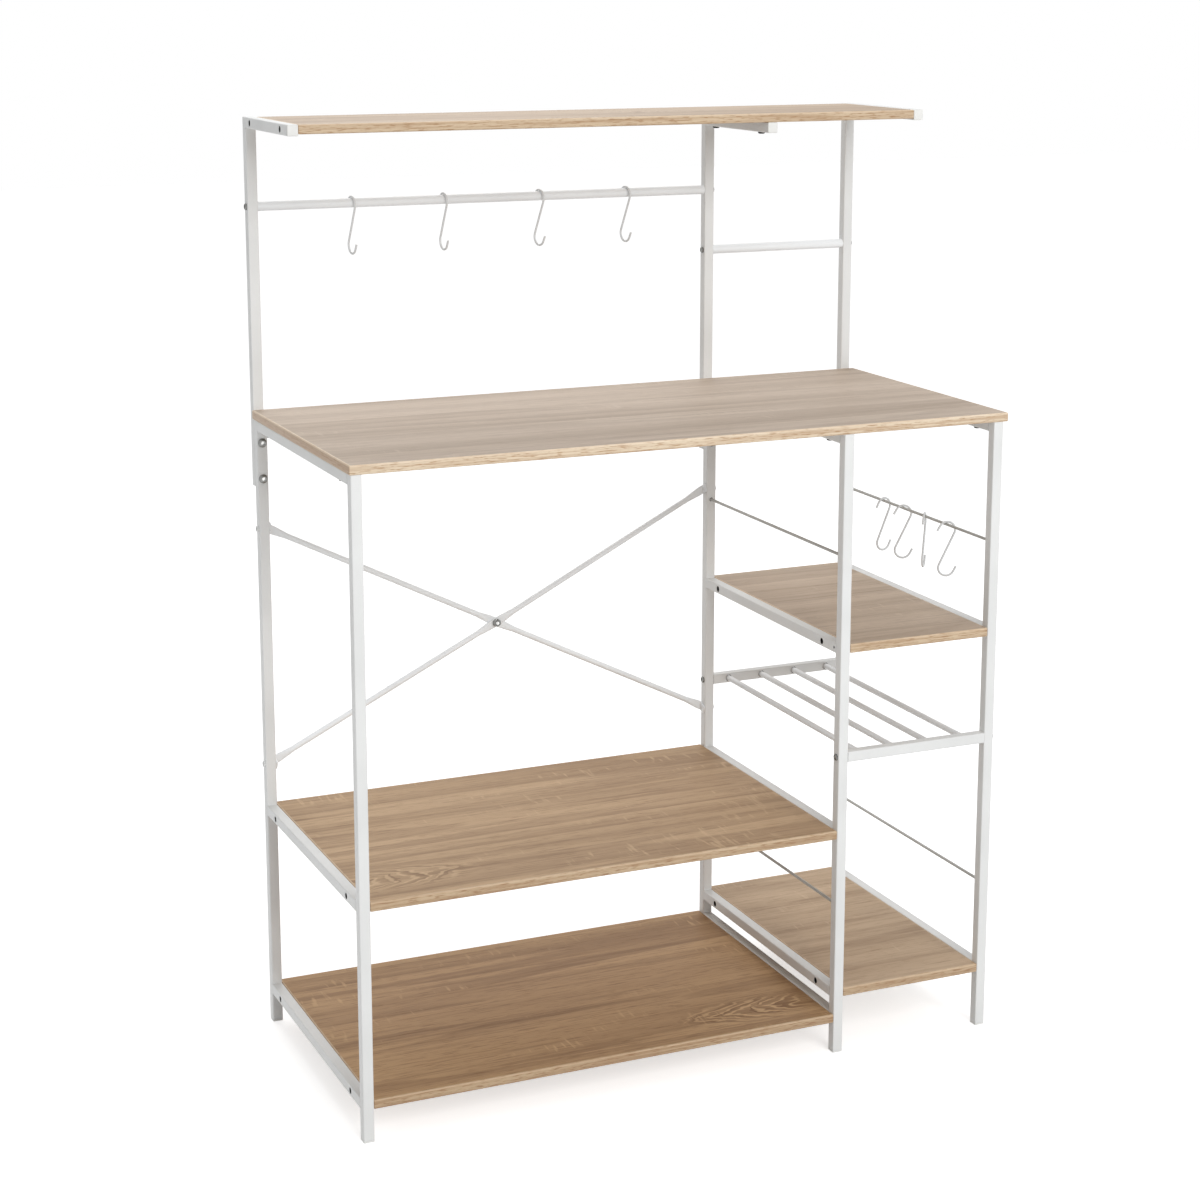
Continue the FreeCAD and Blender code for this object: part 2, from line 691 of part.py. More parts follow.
def group(label, solids):
    """Like fasteners kept together as separate solids of one piece."""
    add_shape(label, Part.makeCompound(solids))


def make_bolts():
    """Bolts of the upper posts, hook rails, bottle rack and cross brace."""
    half = size("tube_size") / 2
    left, mid, right = (size(f"{side}_x") for side in ("left", "mid", "right"))
    front, rear, upper = size("front_y"), size("rear_y"), size("upper_y")

    lap = bolt("lap_bolt_pattern", "tube_size + bolt_reach")
    group("upper_post_bolts", [seat(lap, x, rear - half, size(f"upper_bolt_{level}"), FRONT)
                               for x in (left, mid, right) for level in ("high", "low")])

    side_bolt = bolt("side_bolt_pattern", "tube_size + bolt_reach", "side")
    long_rail, short_rail = size("long_rail_height"), size("short_rail_height")
    group("rail_bolts", [
        seat(side_bolt, left - half, upper, long_rail, LEFT),
        seat(side_bolt, mid + half, upper, long_rail, RIGHT),
        seat(side_bolt, mid - half, upper, short_rail, LEFT),
        seat(side_bolt, right + half, upper, short_rail, RIGHT),
    ])
    group("bottle_rack_bolts", [seat(side_bolt, x, y, size("bottle_bar_height"), heading)
                                for x, heading in ((mid - half, LEFT), (right + half, RIGHT))
                                for y in (front, rear)])

    flat, low, high = size("brace_flat"), size("brace_low"), size("brace_high")
    tab_bolt = bolt("tab_bolt_pattern", "tube_size + brace_flat", "side")
    crossing_bolt = bolt("crossing_bolt_pattern", "2 * brace_flat + nut_height + bolt_tail", "side")
    middle = (size("left_bay_x"), rear, (low + high) / 2)
    solids = [seat(crossing_bolt, middle[0], middle[1] + flat, middle[2], BACK),
              seat(nut(), middle[0], middle[1] - flat, middle[2], FRONT)]
    solids += [seat(tab_bolt, x + heading[0] * half, rear, z, heading)
               for x, heading in ((left, LEFT), (mid, RIGHT)) for z in (low, high)]
    group("brace_bolts", solids)


def make_screws():
    """Screws that hold the boards to the bars and arms."""
    half, wall = size("tube_size") / 2, size("tube_wall")
    left, mid, right = (size(f"{side}_x") for side in ("left", "mid", "right"))
    near = size("front_y") + half + size("screw_inset")
    far = size("rear_y") - half - size("screw_inset")
    arm_near = size("top_shelf_front") + size("arm_screw_inset")
    arm_far = size("upper_y") + half - size("arm_screw_inset")

    end_screw = screw("end_screw_pattern", "screw_head_diameter", "screw_reach + tube_wall")
    solids = []
    for first, second, height, stations in (
        (left, mid, "left_middle_height", (near, far)),
        (left, mid, "left_lower_height", (near, far)),
        (mid, right, "right_upper_height", (near, far)),
        (mid, right, "right_lower_height", (near, far)),
        (left, right, "total_height", (arm_near, arm_far)),
    ):
        z = size(height) - half
        for y in stations:
            solids.append(seat(end_screw, first + half - wall, y, z, LEFT))
            solids.append(seat(end_screw, second - half + wall, y, z, RIGHT))
    group("board_end_screws", solids)

    under_screw = screw("under_screw_pattern", "under_screw_head", "tube_size + under_screw_reach")
    bottom = size("frame_top") - size("tube_size")
    arm_bottom = size("mid_top") - size("tube_size")
    group("board_under_screws",
          [seat(under_screw, x, y, bottom, DOWN) for x in (left, mid, right) for y in (near, far)]
          + [seat(under_screw, mid, y, arm_bottom, DOWN) for y in (arm_near, arm_far)])


def make_plugs():
    """Foot plugs under the posts, and end plugs in the shelf arms."""
    half = size("tube_size") / 2
    pattern = plug()
    group("foot_plugs", [seat(pattern, size(f"{side}_x"), size(f"{end}_y"), size("plug_head"), UP)
                         for side in ("left", "mid", "right") for end in ("front", "rear")])
    tops = {"left": "total_height", "mid": "mid_top", "right": "total_height"}
    group("arm_plugs", [seat(pattern, size(f"{side}_x"), size("arm_front"), size(top) - half, BACK)
                        for side, top in tops.items()])


def write_parts():
    """Check every object and write one file for each piece."""
    doc.recompute()
    for thing in doc.Objects:
        if {"Invalid", "Error"} & set(thing.State):
            raise RuntimeError(f"{thing.Label}: {thing.State}")
    for node in nodes:
        if node.Shape.isNull() or not node.Shape.isValid():
            raise RuntimeError(f"{node.Label}: bad shape")
    os.makedirs("parts", exist_ok=True)
    for node in nodes:
        node.Shape.exportStep(f"parts/{node.Label}.step")


fill_sheet()
make_frames()
make_upper_frame()
make_right_bay()
make_boards()
make_brace("brace_rising", rise=1, lean=-1)
make_brace("brace_falling", rise=-1, lean=1)
make_hooks()
make_bolts()
make_screws()
make_plugs()
write_parts()
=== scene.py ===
import math

import bmesh
import bpy
from bpy.props import FloatProperty, FloatVectorProperty, PointerProperty
from mathutils import Matrix, Vector


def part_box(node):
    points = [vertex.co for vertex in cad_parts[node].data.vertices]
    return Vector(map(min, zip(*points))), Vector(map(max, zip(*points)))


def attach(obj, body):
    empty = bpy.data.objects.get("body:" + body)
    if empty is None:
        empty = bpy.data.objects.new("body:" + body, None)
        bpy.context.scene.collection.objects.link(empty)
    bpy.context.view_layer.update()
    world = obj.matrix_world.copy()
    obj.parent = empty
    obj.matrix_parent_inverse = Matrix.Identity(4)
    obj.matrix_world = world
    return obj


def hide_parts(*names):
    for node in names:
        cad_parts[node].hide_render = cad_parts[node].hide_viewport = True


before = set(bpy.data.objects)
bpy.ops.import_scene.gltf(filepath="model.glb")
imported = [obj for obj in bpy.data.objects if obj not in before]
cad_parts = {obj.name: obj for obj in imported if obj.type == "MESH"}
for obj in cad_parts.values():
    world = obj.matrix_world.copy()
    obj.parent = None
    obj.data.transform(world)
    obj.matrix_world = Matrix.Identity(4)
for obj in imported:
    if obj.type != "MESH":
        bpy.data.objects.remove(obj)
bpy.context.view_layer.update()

bl_info = {
    "name": "Kitchen Rack Looks",
    "version": (1, 0, 0),
    "blender": (4, 5, 0),
    "location": "View3D > Sidebar > Rack",
    "description": "Finishes the pieces of a tube and board kitchen rack and sets it on a studio floor",
    "category": "Object",
}

RACK = "rack"
MM = 0.001
TURN = 2 * math.pi

# How finely rounded forms are divided.
RING_POINTS = 24
CORNER_POINTS = 5
EDGE_STEPS = 4
DOME_STEPS = 6
PAN_STEPS = 5
TAPER_STEPS = 8
FOLD_STEPS = 20
BEAD_RIPPLES = 14
SHARP_ANGLE = math.radians(35)
LEAST_CORNER = 0.15 * MM

# Details too small to be settings: lengths, then shares of a tube's width, then how square
# the section of a brace gets where it is pressed.
BEAD_INSET = 1.6 * MM
BOLT_TAIL = 1.0 * MM
NUT_OF_TUBE = 0.714
WALL_OF_TUBE = 0.12
PRESSED_CORNERS = 0.55

# The stage: metres, strength, millimetres.
FLOOR_REACH = 14.0
FLOOR_GLOW = 0.6
SENSOR_WIDTH = 36.0
WHITE = (1.0, 1.0, 1.0)

# Material indices of a board and of a bolt. A board's trim and a bolt's socket carry painted highlights.
FACE, BAND, HIGHLIGHT_TRIM = range(3)
STEEL, SOCKET_HIGHLIGHT, COAT = range(3)

LEFT, RIGHT = Vector((-1, 0, 0)), Vector((1, 0, 0))
FRONT, BACK = Vector((0, -1, 0)), Vector((0, 1, 0))
DOWN, UP = Vector((0, 0, -1)), Vector((0, 0, 1))

SIDES = ("left", "mid", "right")
BOARDS = ("worktop", "top_shelf", "shelf_left_middle", "shelf_left_lower",
          "shelf_right_upper", "shelf_right_lower")
FASTENERS = ("upper_post_bolts", "rail_bolts", "bottle_rack_bolts", "brace_bolts",
             "board_end_screws", "board_under_screws")
PLUGS = ("foot_plugs", "arm_plugs")
BRACES = ("brace_rising", "brace_falling")
HOOKS = tuple(name for name in sorted(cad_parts) if "_hook_" in name)
COATED = tuple(name for name in sorted(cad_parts)
               if name not in BOARDS + FASTENERS + PLUGS + BRACES + HOOKS)
ROUND_STOCK = ("hook_rail_", "bottle_rod_")
GUARD_RODS = "guard_rod_"
TUBES = (("white_upright_coat", ("post_", "upper_post_"), ("X", "Y")),
         ("white_bar_coat", ("bar_", "shelf_arm_"), ("X", "Z")),
         ("white_rack_bar_coat", ("bottle_bar_",), ("Y", "Z")))
CROSS_BARS = tuple(name for name in COATED if name.startswith("bar_"))
# Per board: where its flame figure lies, if any, and the shares of painted shade that darken and warm its
# face and its band. Boards in deeper shade take more; the face's share also makes the grain stronger.
BOARD_LOOKS = {
    "worktop": {"flame": None, "face": 0.03, "band": 0.0},
    "top_shelf": {"flame": (0.6, 0.5, -1.0), "face": 0.2, "band": 0.5},
    "shelf_left_middle": {"flame": (0.1, 0.17, 1.0), "face": 0.56, "band": 0.9},
    "shelf_left_lower": {"flame": (0.85, 0.14, -1.0), "face": 0.78, "band": 1.1},
    "shelf_right_upper": {"flame": None, "face": 0.12, "band": 0.6},
    "shelf_right_lower": {"flame": None, "face": 0.35, "band": 0.85},
}
# Colour factors of the deepest painted shade on a board's face and on its band. A board's share of painted
# shade darkens and warms its colours towards them.
DEEPEST_FACE_SHADE = (0.88, 0.63, 0.36)
DEEPEST_BAND_SHADE = (0.71, 0.63, 0.54)

# Marks of the oak: turns to the metre along, across and through a board, then detail, roughness
# and twist, then where the mask starts and where it is full.
OAK_MARKS = {
    "drift": ((0.7, 13.0, 9.0), (2.0, 0.5, 0.0), (0.35, 0.65)),
    "taper": ((2.1, 44.0, 30.0), (2.0, 0.5, 0.25), (0.57, 0.69)),
    "streak": ((3.4, 150.0, 60.0), (4.0, 0.65, 0.1), (0.5, 0.64)),
    "dash": ((24.0, 430.0, 300.0), (2.0, 0.6, 0.0), (0.56, 0.68)),
    "ray": ((170.0, 26.0, 20.0), (1.0, 0.5, 0.0), (0.56, 0.72)),
    "rayed": ((5.5, 17.0, 9.0), (1.0, 0.5, 0.0), (0.53, 0.68)),
    "pore": ((46.0, 1150.0, 1150.0), (1.0, 0.5, 0.0), (0.62, 0.74)),
}
BAND_MARKS = {
    "layer": ((5.0, 260.0, 1.0), (2.0, 0.5, 0.3), (0.38, 0.66)),
    "dash": ((58.0, 620.0, 1.0), (2.0, 0.6, 0.0), (0.5, 0.66)),
}


def linear(level):
    """Light value of a screen level from 0 to 255."""
    share = level / 255
    return share / 12.92 if share <= 0.04045 else ((share + 0.055) / 1.055) ** 2.4


def colour_setting(name, description, *levels):
    """Colour setting whose default is given in screen levels."""
    return FloatVectorProperty(name=name, description=description, subtype="COLOR", size=3,
                               min=0.0, max=1.0, default=tuple(linear(level) for level in levels))


def length_setting(name, description, millimetres):
    """Length setting whose default is given in millimetres."""
    return FloatProperty(name=name, description=description, subtype="DISTANCE", unit="LENGTH",
                         min=0.0, precision=5, default=millimetres * MM)


def share_setting(name, description, default):
    """Setting between nought and one."""
    return FloatProperty(name=name, description=description, subtype="FACTOR",
                         min=0.0, max=1.0, default=default)


def place_setting(name, description, *metres):
    """Place in the scene."""
    return FloatVectorProperty(name=name, description=description, subtype="TRANSLATION",
                               unit="LENGTH", size=3, default=metres)


def angle_setting(name, description, degrees):
    """Angle setting whose default is given in degrees."""
    return FloatProperty(name=name, description=description, subtype="ANGLE", unit="ROTATION",
                         default=math.radians(degrees))


def power_setting(name, description, watts):
    """Power of a lamp."""
    return FloatProperty(name=name, description=description, unit="POWER", default=watts)


class RackColours(bpy.types.PropertyGroup):
    """Colours of the rack's finishes"""

    paint: colour_setting("Paint", "Powder coat on the square tubes", 231, 232, 231)
    guard_paint: colour_setting("Guard paint", "Coat on the thin guard rods", 190, 190, 186)
    bare_bore: colour_setting("Bare bore", "Bare steel inside the square tubes", 52, 50, 48)
    # Painted light: a lighter, slightly cooler copy of the white coat, which brightens the round pieces
    # that sit in shade.
    lightened_rod_paint: colour_setting("Rod paint", "Powder coat on the rails, rods and braces", 243, 246, 248)
    hook_coat: colour_setting("Hook coat", "Coat on the wire hooks", 224, 226, 227)
    oak_ground: colour_setting("Oak ground", "Main tone of the oak boards", 190, 173, 156)
    oak_light: colour_setting("Oak light", "Light bands in the oak boards", 207, 191, 175)
    oak_dark: colour_setting("Oak dark", "Late wood and pores in the oak boards", 128, 104, 84)
    oak_pale: colour_setting("Oak pale", "Rays and grain lines in the oak boards", 226, 212, 196)
    band_light: colour_setting("Edge band light", "Ground of the boards' edge band", 226, 208, 182)
    band_dark: colour_setting("Edge band dark", "Dashes in the boards' edge band", 174, 137, 102)
    # Painted highlight: lighter tones laid on the rounded top edge of each board, where the edge catches
    # the light.
    trim_light: colour_setting("Trim light", "Rounded edge between a board's face and its band",
                               238, 220, 196)
    trim_dark: colour_setting("Trim dark", "Dashes in the rounded edge", 212, 186, 156)
    bolt_metal: colour_setting("Bolt metal", "Plated bolt heads and nuts", 140, 140, 138)
    # Painted highlight: a bright tone on the bottom of the bolt sockets, standing in for a reflection.
    socket_highlight: colour_setting("Socket metal", "Bright bottom of the bolt sockets", 226, 226, 224)
    screw_black: colour_setting("Screw black", "Blackened wood screws", 30, 29, 29)
    plug_white: colour_setting("Plug white", "Moulded plugs in the tube ends", 236, 236, 233)
    floor: colour_setting("Floor", "Studio floor", 232, 232, 232)


class RackSizes(bpy.types.PropertyGroup):
    """Sizes of the details that the finishes add"""

    board_corner: length_setting("Board corner", "Radius of a board's corners seen from above", 1.6)
    board_edge: length_setting("Board edge", "Radius along a board's edges", 1.9)
    band_lip: length_setting("Band lip", "Width of edge band that shows on a board's faces", 2.1)
    bead_leg: length_setting("Bar bead", "Leg of the weld bead under a cross bar's end", 3.6)
    bolt_shank: length_setting("Bolt shank", "Radius of the bolts' shanks", 2.9)
    socket_flats: length_setting("Socket", "Width across the flats of a bolt's socket", 4.6)
    brace_radius: length_setting("Brace radius", "Radius of the round brace tubes", 4)
    brace_press: length_setting("Brace press", "Width of a brace where it is pressed flat", 12)
    brace_centre: length_setting("Brace centre", "Half length of the flat where the braces cross", 8)
    brace_end: length_setting("Brace end", "Length of the flat at a brace's end", 3)
    brace_taper: length_setting("Brace taper", "Length over which a brace goes from round to flat", 22)
    brace_fold: length_setting("Brace fold", "Radius of the fold at a brace's end", 2.5)
    brace_setback: length_setting("Brace setback", "How far a brace's end stands behind its bolt", 5)
    brace_tip: length_setting("Brace tip", "How far a brace's tab reaches past its bolt", 6)
    plug_round: length_setting("Plug edge", "Radius round the head of a tube plug", 1.2)
    plug_seam: length_setting("Plug seam", "Gap between a plug's head and its tube", 0.35)
    plank_width: length_setting("Plank width", "Width of the planks printed on the boards", 118)
    flame_length: length_setting("Flame length", "Reach of the flame figure along a board", 115)
    flame_width: length_setting("Flame width", "Reach of the flame figure across a board", 42)


class RackStage(bpy.types.PropertyGroup):
    """Camera and light"""

    camera_place: place_setting("Camera place", "Where the camera stands", -1.3071, -2.9071, 1.4042)
    camera_yaw: angle_setting("Camera yaw", "Turn of the camera to the right", 23.59)
    camera_pitch: angle_setting("Camera pitch", "Tilt of the camera, down is less than nought", -11.49)
    camera_shift: FloatProperty(name="Camera shift", default=-0.1,
                                description="Upward shift of the lens, in frame widths")
    lens: FloatProperty(name="Lens", description="Focal length in millimetres", default=74.09)
    lamp_aim: place_setting("Lamp aim", "Point that both soft lamps face", 0.0, 0.0, 0.6)
    top_place: place_setting("Top lamp place", "Where the upper soft lamp hangs", 0.2, 2.4, 3.4)
    top_size: length_setting("Top lamp size", "Side of the upper soft lamp", 2400)
    top_power: power_setting("Top lamp power", "Power of the upper soft lamp", 42.0)
    front_place: place_setting("Front lamp place", "Where the front soft lamp stands", 0.4, -4.5, 3.0)
    front_size: length_setting("Front lamp size", "Side of the front soft lamp", 2600)
    front_power: power_setting("Front lamp power", "Power of the front soft lamp", 127.0)
    sky: share_setting("Sky", "Strength of the even light from all round", 0.52)


class Value:
    """Shader socket that takes part in Python arithmetic; each operation adds a Math node"""

    def __init__(self, finish, socket):
        self.finish = finish
        self.socket = socket

    def output(self, key):
        """Another output of the same node."""
        return Value(self.finish, self.socket.node.outputs[key])

    def __add__(self, other):
        return self.finish.maths("ADD", self, other)

    def __radd__(self, other):
        return self.finish.maths("ADD", other, self)

    def __sub__(self, other):
        return self.finish.maths("SUBTRACT", self, other)

    def __rsub__(self, other):
        return self.finish.maths("SUBTRACT", other, self)

    def __mul__(self, other):
        return self.finish.maths("MULTIPLY", self, other)

    def __rmul__(self, other):
        return self.finish.maths("MULTIPLY", other, self)

    def __truediv__(self, other):
        return self.finish.maths("DIVIDE", self, other)

    def __rtruediv__(self, other):
        return self.finish.maths("DIVIDE", other, self)


class Finish:
    """Node tree of a material or the world, put together from expressions"""

    def __init__(self, tree):
        self.tree = tree
        self.surface = tree.nodes.get("Principled BSDF")

    def feed(self, socket, value):
        """Set a socket, or link it when the value comes from another node."""
        if isinstance(value, Value):
            self.tree.links.new(value.socket, socket)
        elif socket.type == "RGBA":
            socket.default_value = (*tuple(value)[:3], 1.0)
        else:
            socket.default_value = value

    def node(self, kind, settings, sockets, output=0):
        """Add a node: its settings first, then the values or links of its sockets."""
        made = self.tree.nodes.new(kind)
        for name, value in settings.items():
            setattr(made, name, value)
        for key, value in sockets.items():
            self.feed(made.inputs[key], value)
        return Value(self, made.outputs[output])

    def maths(self, operation, *values):
        return self.node("ShaderNodeMath", {"operation": operation}, dict(enumerate(values)))

    def place(self):
        """Place on the rack in metres."""
        return self.node("ShaderNodeTexCoord", {}, {}, "Object")

    def stretched(self, place, scale, shift=(0.0, 0.0, 0.0)):
        """A place scaled and then moved."""
        return self.node("ShaderNodeVectorMath", {"operation": "MULTIPLY_ADD"},
                         {0: place, 1: scale, 2: shift})

    def noise(self, place, scale, detail=0.0, roughness=0.5, twist=0.0):
        """Cloudy value about one half, with so many turns to the metre along each axis."""
        return self.node("ShaderNodeTexNoise", {"noise_dimensions": "3D"},
                         {"Vector": self.stretched(place, scale), "Scale": 1.0, "Detail": detail,
                          "Roughness": roughness, "Distortion": twist})

    def step(self, value, low, high):
        """Smooth mask that is nought below low and one above high."""
        return self.node("ShaderNodeMapRange", {"interpolation_type": "SMOOTHSTEP"},
                         {"Value": value, "From Min": low, "From Max": high})

    def mark(self, place, scale, form, limits):
        """Mask of marks: noise of a scale and a form, cut between two limits."""
        return self.step(self.noise(place, scale, *form), *limits)

    def mixed(self, first, second, mask):
        """Colour between two others."""
        return self.node("ShaderNodeMix", {"data_type": "RGBA", "blend_type": "MIX"},
                         {0: mask, 6: first, 7: second}, 2)

    def dress(self, **sockets):
        """Set or link the surface's own sockets, named with underscores for spaces."""
        for name, value in sockets.items():
            self.feed(self.surface.inputs[name.replace("_", " ").title().replace("Ior", "IOR")], value)

    def roughen(self, height, strength, distance):
        """Bump the surface by a height."""
        bump = self.node("ShaderNodeBump", {}, {"Height": height, "Strength": strength,
                                                "Distance": distance})
        self.feed(self.surface.inputs["Normal"], bump)


def new_material(name):
    """Empty material and its node tree."""
    material = bpy.data.materials.new(name)
    material.use_nodes = True
    return material, Finish(material.node_tree)


def powder_coat(name, colour, bare=None, bore=()):
    """Baked powder coat: even colour, fine orange peel, soft gloss.
    A tube is bare steel inside, which is away from its box's sides along the two axes of its bore."""
    material, coat = new_material(name)
    place = coat.place()
    peel = coat.noise(place, (1150.0,) * 3, 1.0, 0.45)
    flow = coat.noise(place, (260.0,) * 3, 1.0)
    cloud = coat.noise(place, (9.0,) * 3, 2.0)
    shade = tuple(0.93 * part for part in colour)
    base = coat.mixed(colour, shade, coat.step(cloud, 0.35, 0.75))
    if bore:
        share = coat.node("ShaderNodeTexCoord", {}, {}, "Generated")
        split = coat.node("ShaderNodeSeparateXYZ", {}, {"Vector": share})
        first, second = (coat.step(coat.maths("ABSOLUTE", split.output(axis) - 0.5), 0.46, 0.44)
                         for axis in bore)
        base = coat.mixed(base, bare, first * second)
    coat.dress(base_color=base, roughness=0.3 + flow * 0.14 + peel * 0.06)
    coat.roughen(peel * 0.7 + flow, 0.22, 0.12 * MM)
    return material


def shade_toned(colour, deepest_shade, shade_and_grain):
    """Oak colour darkened and warmed by a share of painted shade."""
    return tuple(part * deep ** shade_and_grain for part, deep in zip(colour, deepest_shade))


def oak_laminate(name, seed, flame, shade_and_grain, colours, sizes):
    """Printed oak: planks with growth rings, streaks, rays and pores under a satin film.
    A flame figure, if any, is its place on the board and the way that it points.
    A board's share of painted shade darkens and warms its colours and makes its grain stronger."""
    material, oak = new_material(name)
    ground, light, dark, pale = (shade_toned(colour, DEEPEST_FACE_SHADE, shade_and_grain) for colour in (
        colours.oak_ground, colours.oak_light, colours.oak_dark, colours.oak_pale))
    grain = 0.5 + shade_and_grain
    place = oak.place()
    along = oak.node("ShaderNodeSeparateXYZ", {}, {"Vector": place})
    across = along.output("Y")
    row = oak.maths("FLOOR", across / sizes.plank_width + seed * 1.37)
    which = oak.node("ShaderNodeCombineXYZ", {}, {"X": row, "Y": 0.0, "Z": seed})
    plank = oak.node("ShaderNodeTexWhiteNoise", {"noise_dimensions": "3D"}, {"Vector": which})
    timber = oak.stretched(plank.output("Color"), (9.0, 5.0, 7.0), place)

    drift, taper, streak, dash, ray, rayed = (
        oak.mark(timber, *OAK_MARKS[kind]) for kind in ("drift", "taper", "streak", "dash", "ray", "rayed"))
    pore = oak.mark(place, *OAK_MARKS["pore"])
    fibre = oak.noise(place, (17.0, 520.0, 520.0), 2.0, 0.6)
    contour = oak.noise(timber, (0.5, 10.0, 6.0), 1.0, 0.4, 0.12)
    growth = oak.maths("FRACT", contour * 6.0)
    late_wood = oak.step(growth, 0.3, 0.93) * oak.step(growth, 1.0, 0.93)

    colour = oak.mixed(ground, light, drift)
    colour = oak.mixed(colour, dark, late_wood * (plank * 0.2 + 0.22) * grain)
    colour = oak.mixed(colour, dark, taper * (0.36 * grain))
    colour = oak.mixed(colour, dark, streak * (0.24 * grain))
    colour = oak.mixed(colour, dark, dash * (0.45 * grain))
    if flame:
        centre_x, centre_y, heading = flame
        ahead = (along - centre_x) * (heading / sizes.flame_length)
        aside = (across - centre_y) / sizes.flame_width
        wobble = oak.noise(place, (16.0, 42.0, 30.0), 2.0, 0.55, 0.4)
        field = ahead + aside * aside * 0.8 + wobble * 0.9
        inside = oak.step(ahead * ahead + aside * aside, 1.0, 0.15)
        loop = oak.step(oak.maths("SINE", field * 26.0), 0.2, 0.95) * inside
        flare = oak.step(oak.maths("FRACT", field * 2.6), 0.3, 1.0) * inside
        colour = oak.mixed(colour, dark, flare * (0.6 * grain))
        colour = oak.mixed(colour, pale, loop * (0.63 * grain))
    colour = oak.mixed(colour, pale, ray * rayed * (0.48 * grain))
    # Random tone per plank, plus an even painted shade over the whole board.
    colour = oak.mixed(colour, dark, plank * (0.1 * grain) + 0.06 * shade_and_grain)
    colour = oak.mixed(colour, pale, oak.step(fibre, 0.5, 0.8) * 0.2)
    colour = oak.mixed(colour, dark, pore * (0.25 + 0.35 * shade_and_grain))
    oak.dress(base_color=colour, roughness=0.46 + fibre * 0.12 + pore * 0.1, specular_ior_level=0.22)
    oak.roughen(fibre * 0.6 - pore * 0.5 - streak * 0.1, 0.16, 0.2 * MM)
    return material


def edge_band(name, light, dark):
    """Thin oak edge band with short dashes along the edge, and painted shade on the faces at a board's
    ends.
    """
    material, band = new_material(name)
    place = band.place()
    split = band.node("ShaderNodeSeparateXYZ", {}, {"Vector": place})
    run = split + split.output("Y")
    strip = band.node("ShaderNodeCombineXYZ", {}, {"X": run, "Y": split.output("Z"), "Z": 0.0})
    layer, dash = (band.mark(strip, *BAND_MARKS[kind]) for kind in ("layer", "dash"))
    fibre = band.noise(strip, (30.0, 1500.0, 1.0), 1.0)
    colour = band.mixed(light, dark, layer * 0.5)
    colour = band.mixed(colour, dark, dash * 0.85)
    # Painted shade: the band's faces at a board's ends, which look left or right, go towards the dark tone.
    facing = band.node("ShaderNodeNewGeometry", {}, {}, "Normal")
    sideways = band.node("ShaderNodeSeparateXYZ", {}, {"Vector": facing})
    painted_end_shade = band.step(band.maths("ABSOLUTE", sideways), 0.5, 0.9)
    colour = band.mixed(colour, dark, painted_end_shade * 0.6)
    band.dress(base_color=colour, roughness=0.36 + fibre * 0.14)
    band.roughen(fibre - dash * 0.5, 0.14, 0.15 * MM)
    return material


def plated_metal(name, colour, gloss):
    """Plated steel with fine turning marks and a cloudy plating."""
    material, metal = new_material(name)
    place = metal.place()
    cloud = metal.noise(place, (420.0,) * 3, 2.0)
    fine = metal.noise(place, (2600.0,) * 3, 1.0)
    shade = tuple(0.72 * part for part in colour)
    metal.dress(base_color=metal.mixed(colour, shade, metal.step(cloud, 0.4, 0.7)), metallic=1.0,
                roughness=gloss + cloud * 0.12)
    metal.roughen(fine, 0.12, 0.06 * MM)
    return material


def blackened_steel(name, colour):
    """Black oxide with a dry, slightly mottled skin."""
    material, steel = new_material(name)
    place = steel.place()
    mottle = steel.noise(place, (700.0,) * 3, 2.0)
    worn = tuple(min(1.0, 2.4 * part) for part in colour)
    steel.dress(base_color=steel.mixed(colour, worn, steel.step(mottle, 0.5, 0.8)),
                roughness=0.5 + mottle * 0.25, specular_ior_level=0.3)
    steel.roughen(mottle, 0.2, 0.08 * MM)
    return material


def moulded_plastic(name, colour):
    """Moulded plastic with an eroded mould texture."""
    material, plastic = new_material(name)
    place = plastic.place()
    spark = plastic.noise(place, (2100.0,) * 3, 2.0, 0.6)
    cloud = plastic.noise(place, (60.0,) * 3, 1.0)
    shade = tuple(0.94 * part for part in colour)
    plastic.dress(base_color=plastic.mixed(colour, shade, plastic.step(cloud, 0.35, 0.7)),
                  roughness=0.4 + spark * 0.18)
    plastic.roughen(spark, 0.2, 0.1 * MM)
    return material


def seen_directly(finish):
    """Mask of what the camera sees itself, in a reflection or through something clear."""
    path = finish.node("ShaderNodeLightPath", {}, {}, "Is Camera Ray")
    seen = finish.maths("MAXIMUM", path, path.output("Is Glossy Ray"))
    return finish.maths("MAXIMUM", seen, path.output("Is Transmission Ray"))


def middle(node):
    """Centre of a node's box."""
    low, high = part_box(node)
    return (low + high) / 2


def brace_crossing():
    """Point where the braces cross, and the thickness of a pressed brace."""
    rising, falling = (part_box(node)[0].y for node in BRACES)
    return (middle("brace_rising") + middle("brace_falling")) / 2, falling - rising


def quarter_turns(steps):
    """Turns from nought to a quarter, both ends included."""
    return [TURN / 4 * step / steps for step in range(steps + 1)]


def standing(point, outward):
    """Matrix that puts a fastener's seat at a point with its head outward."""
    return Matrix.Translation(point) @ outward.to_track_quat("Z", "Y").to_matrix().to_4x4()


def round_shape(radius):
    """Outline of a circle."""
    return lambda turn: radius


def hexagon_shape(flats):
    """Outline of a hexagon of a width across its flats."""
    sixth = TURN / 6
    return lambda turn: flats / 2 / math.cos((turn + sixth / 2) % sixth - sixth / 2)


def cross_shape(reach, arm):
    """Outline of a cross recess of a reach and an arm's half width."""
    quarter = TURN / 4

    def radius(turn):
        lean = abs((turn + quarter / 2) % quarter - quarter / 2)
        return reach / math.cos(lean) if math.tan(lean) * reach < arm else arm / math.sin(lean)

    return radius


def ring(stand, shape, height):
    """Ring of points round a stand's own Z axis."""
    turns = [TURN * step / RING_POINTS for step in range(RING_POINTS)]
    return [stand @ Vector((shape(t) * math.cos(t), shape(t) * math.sin(t), height)) for t in turns]


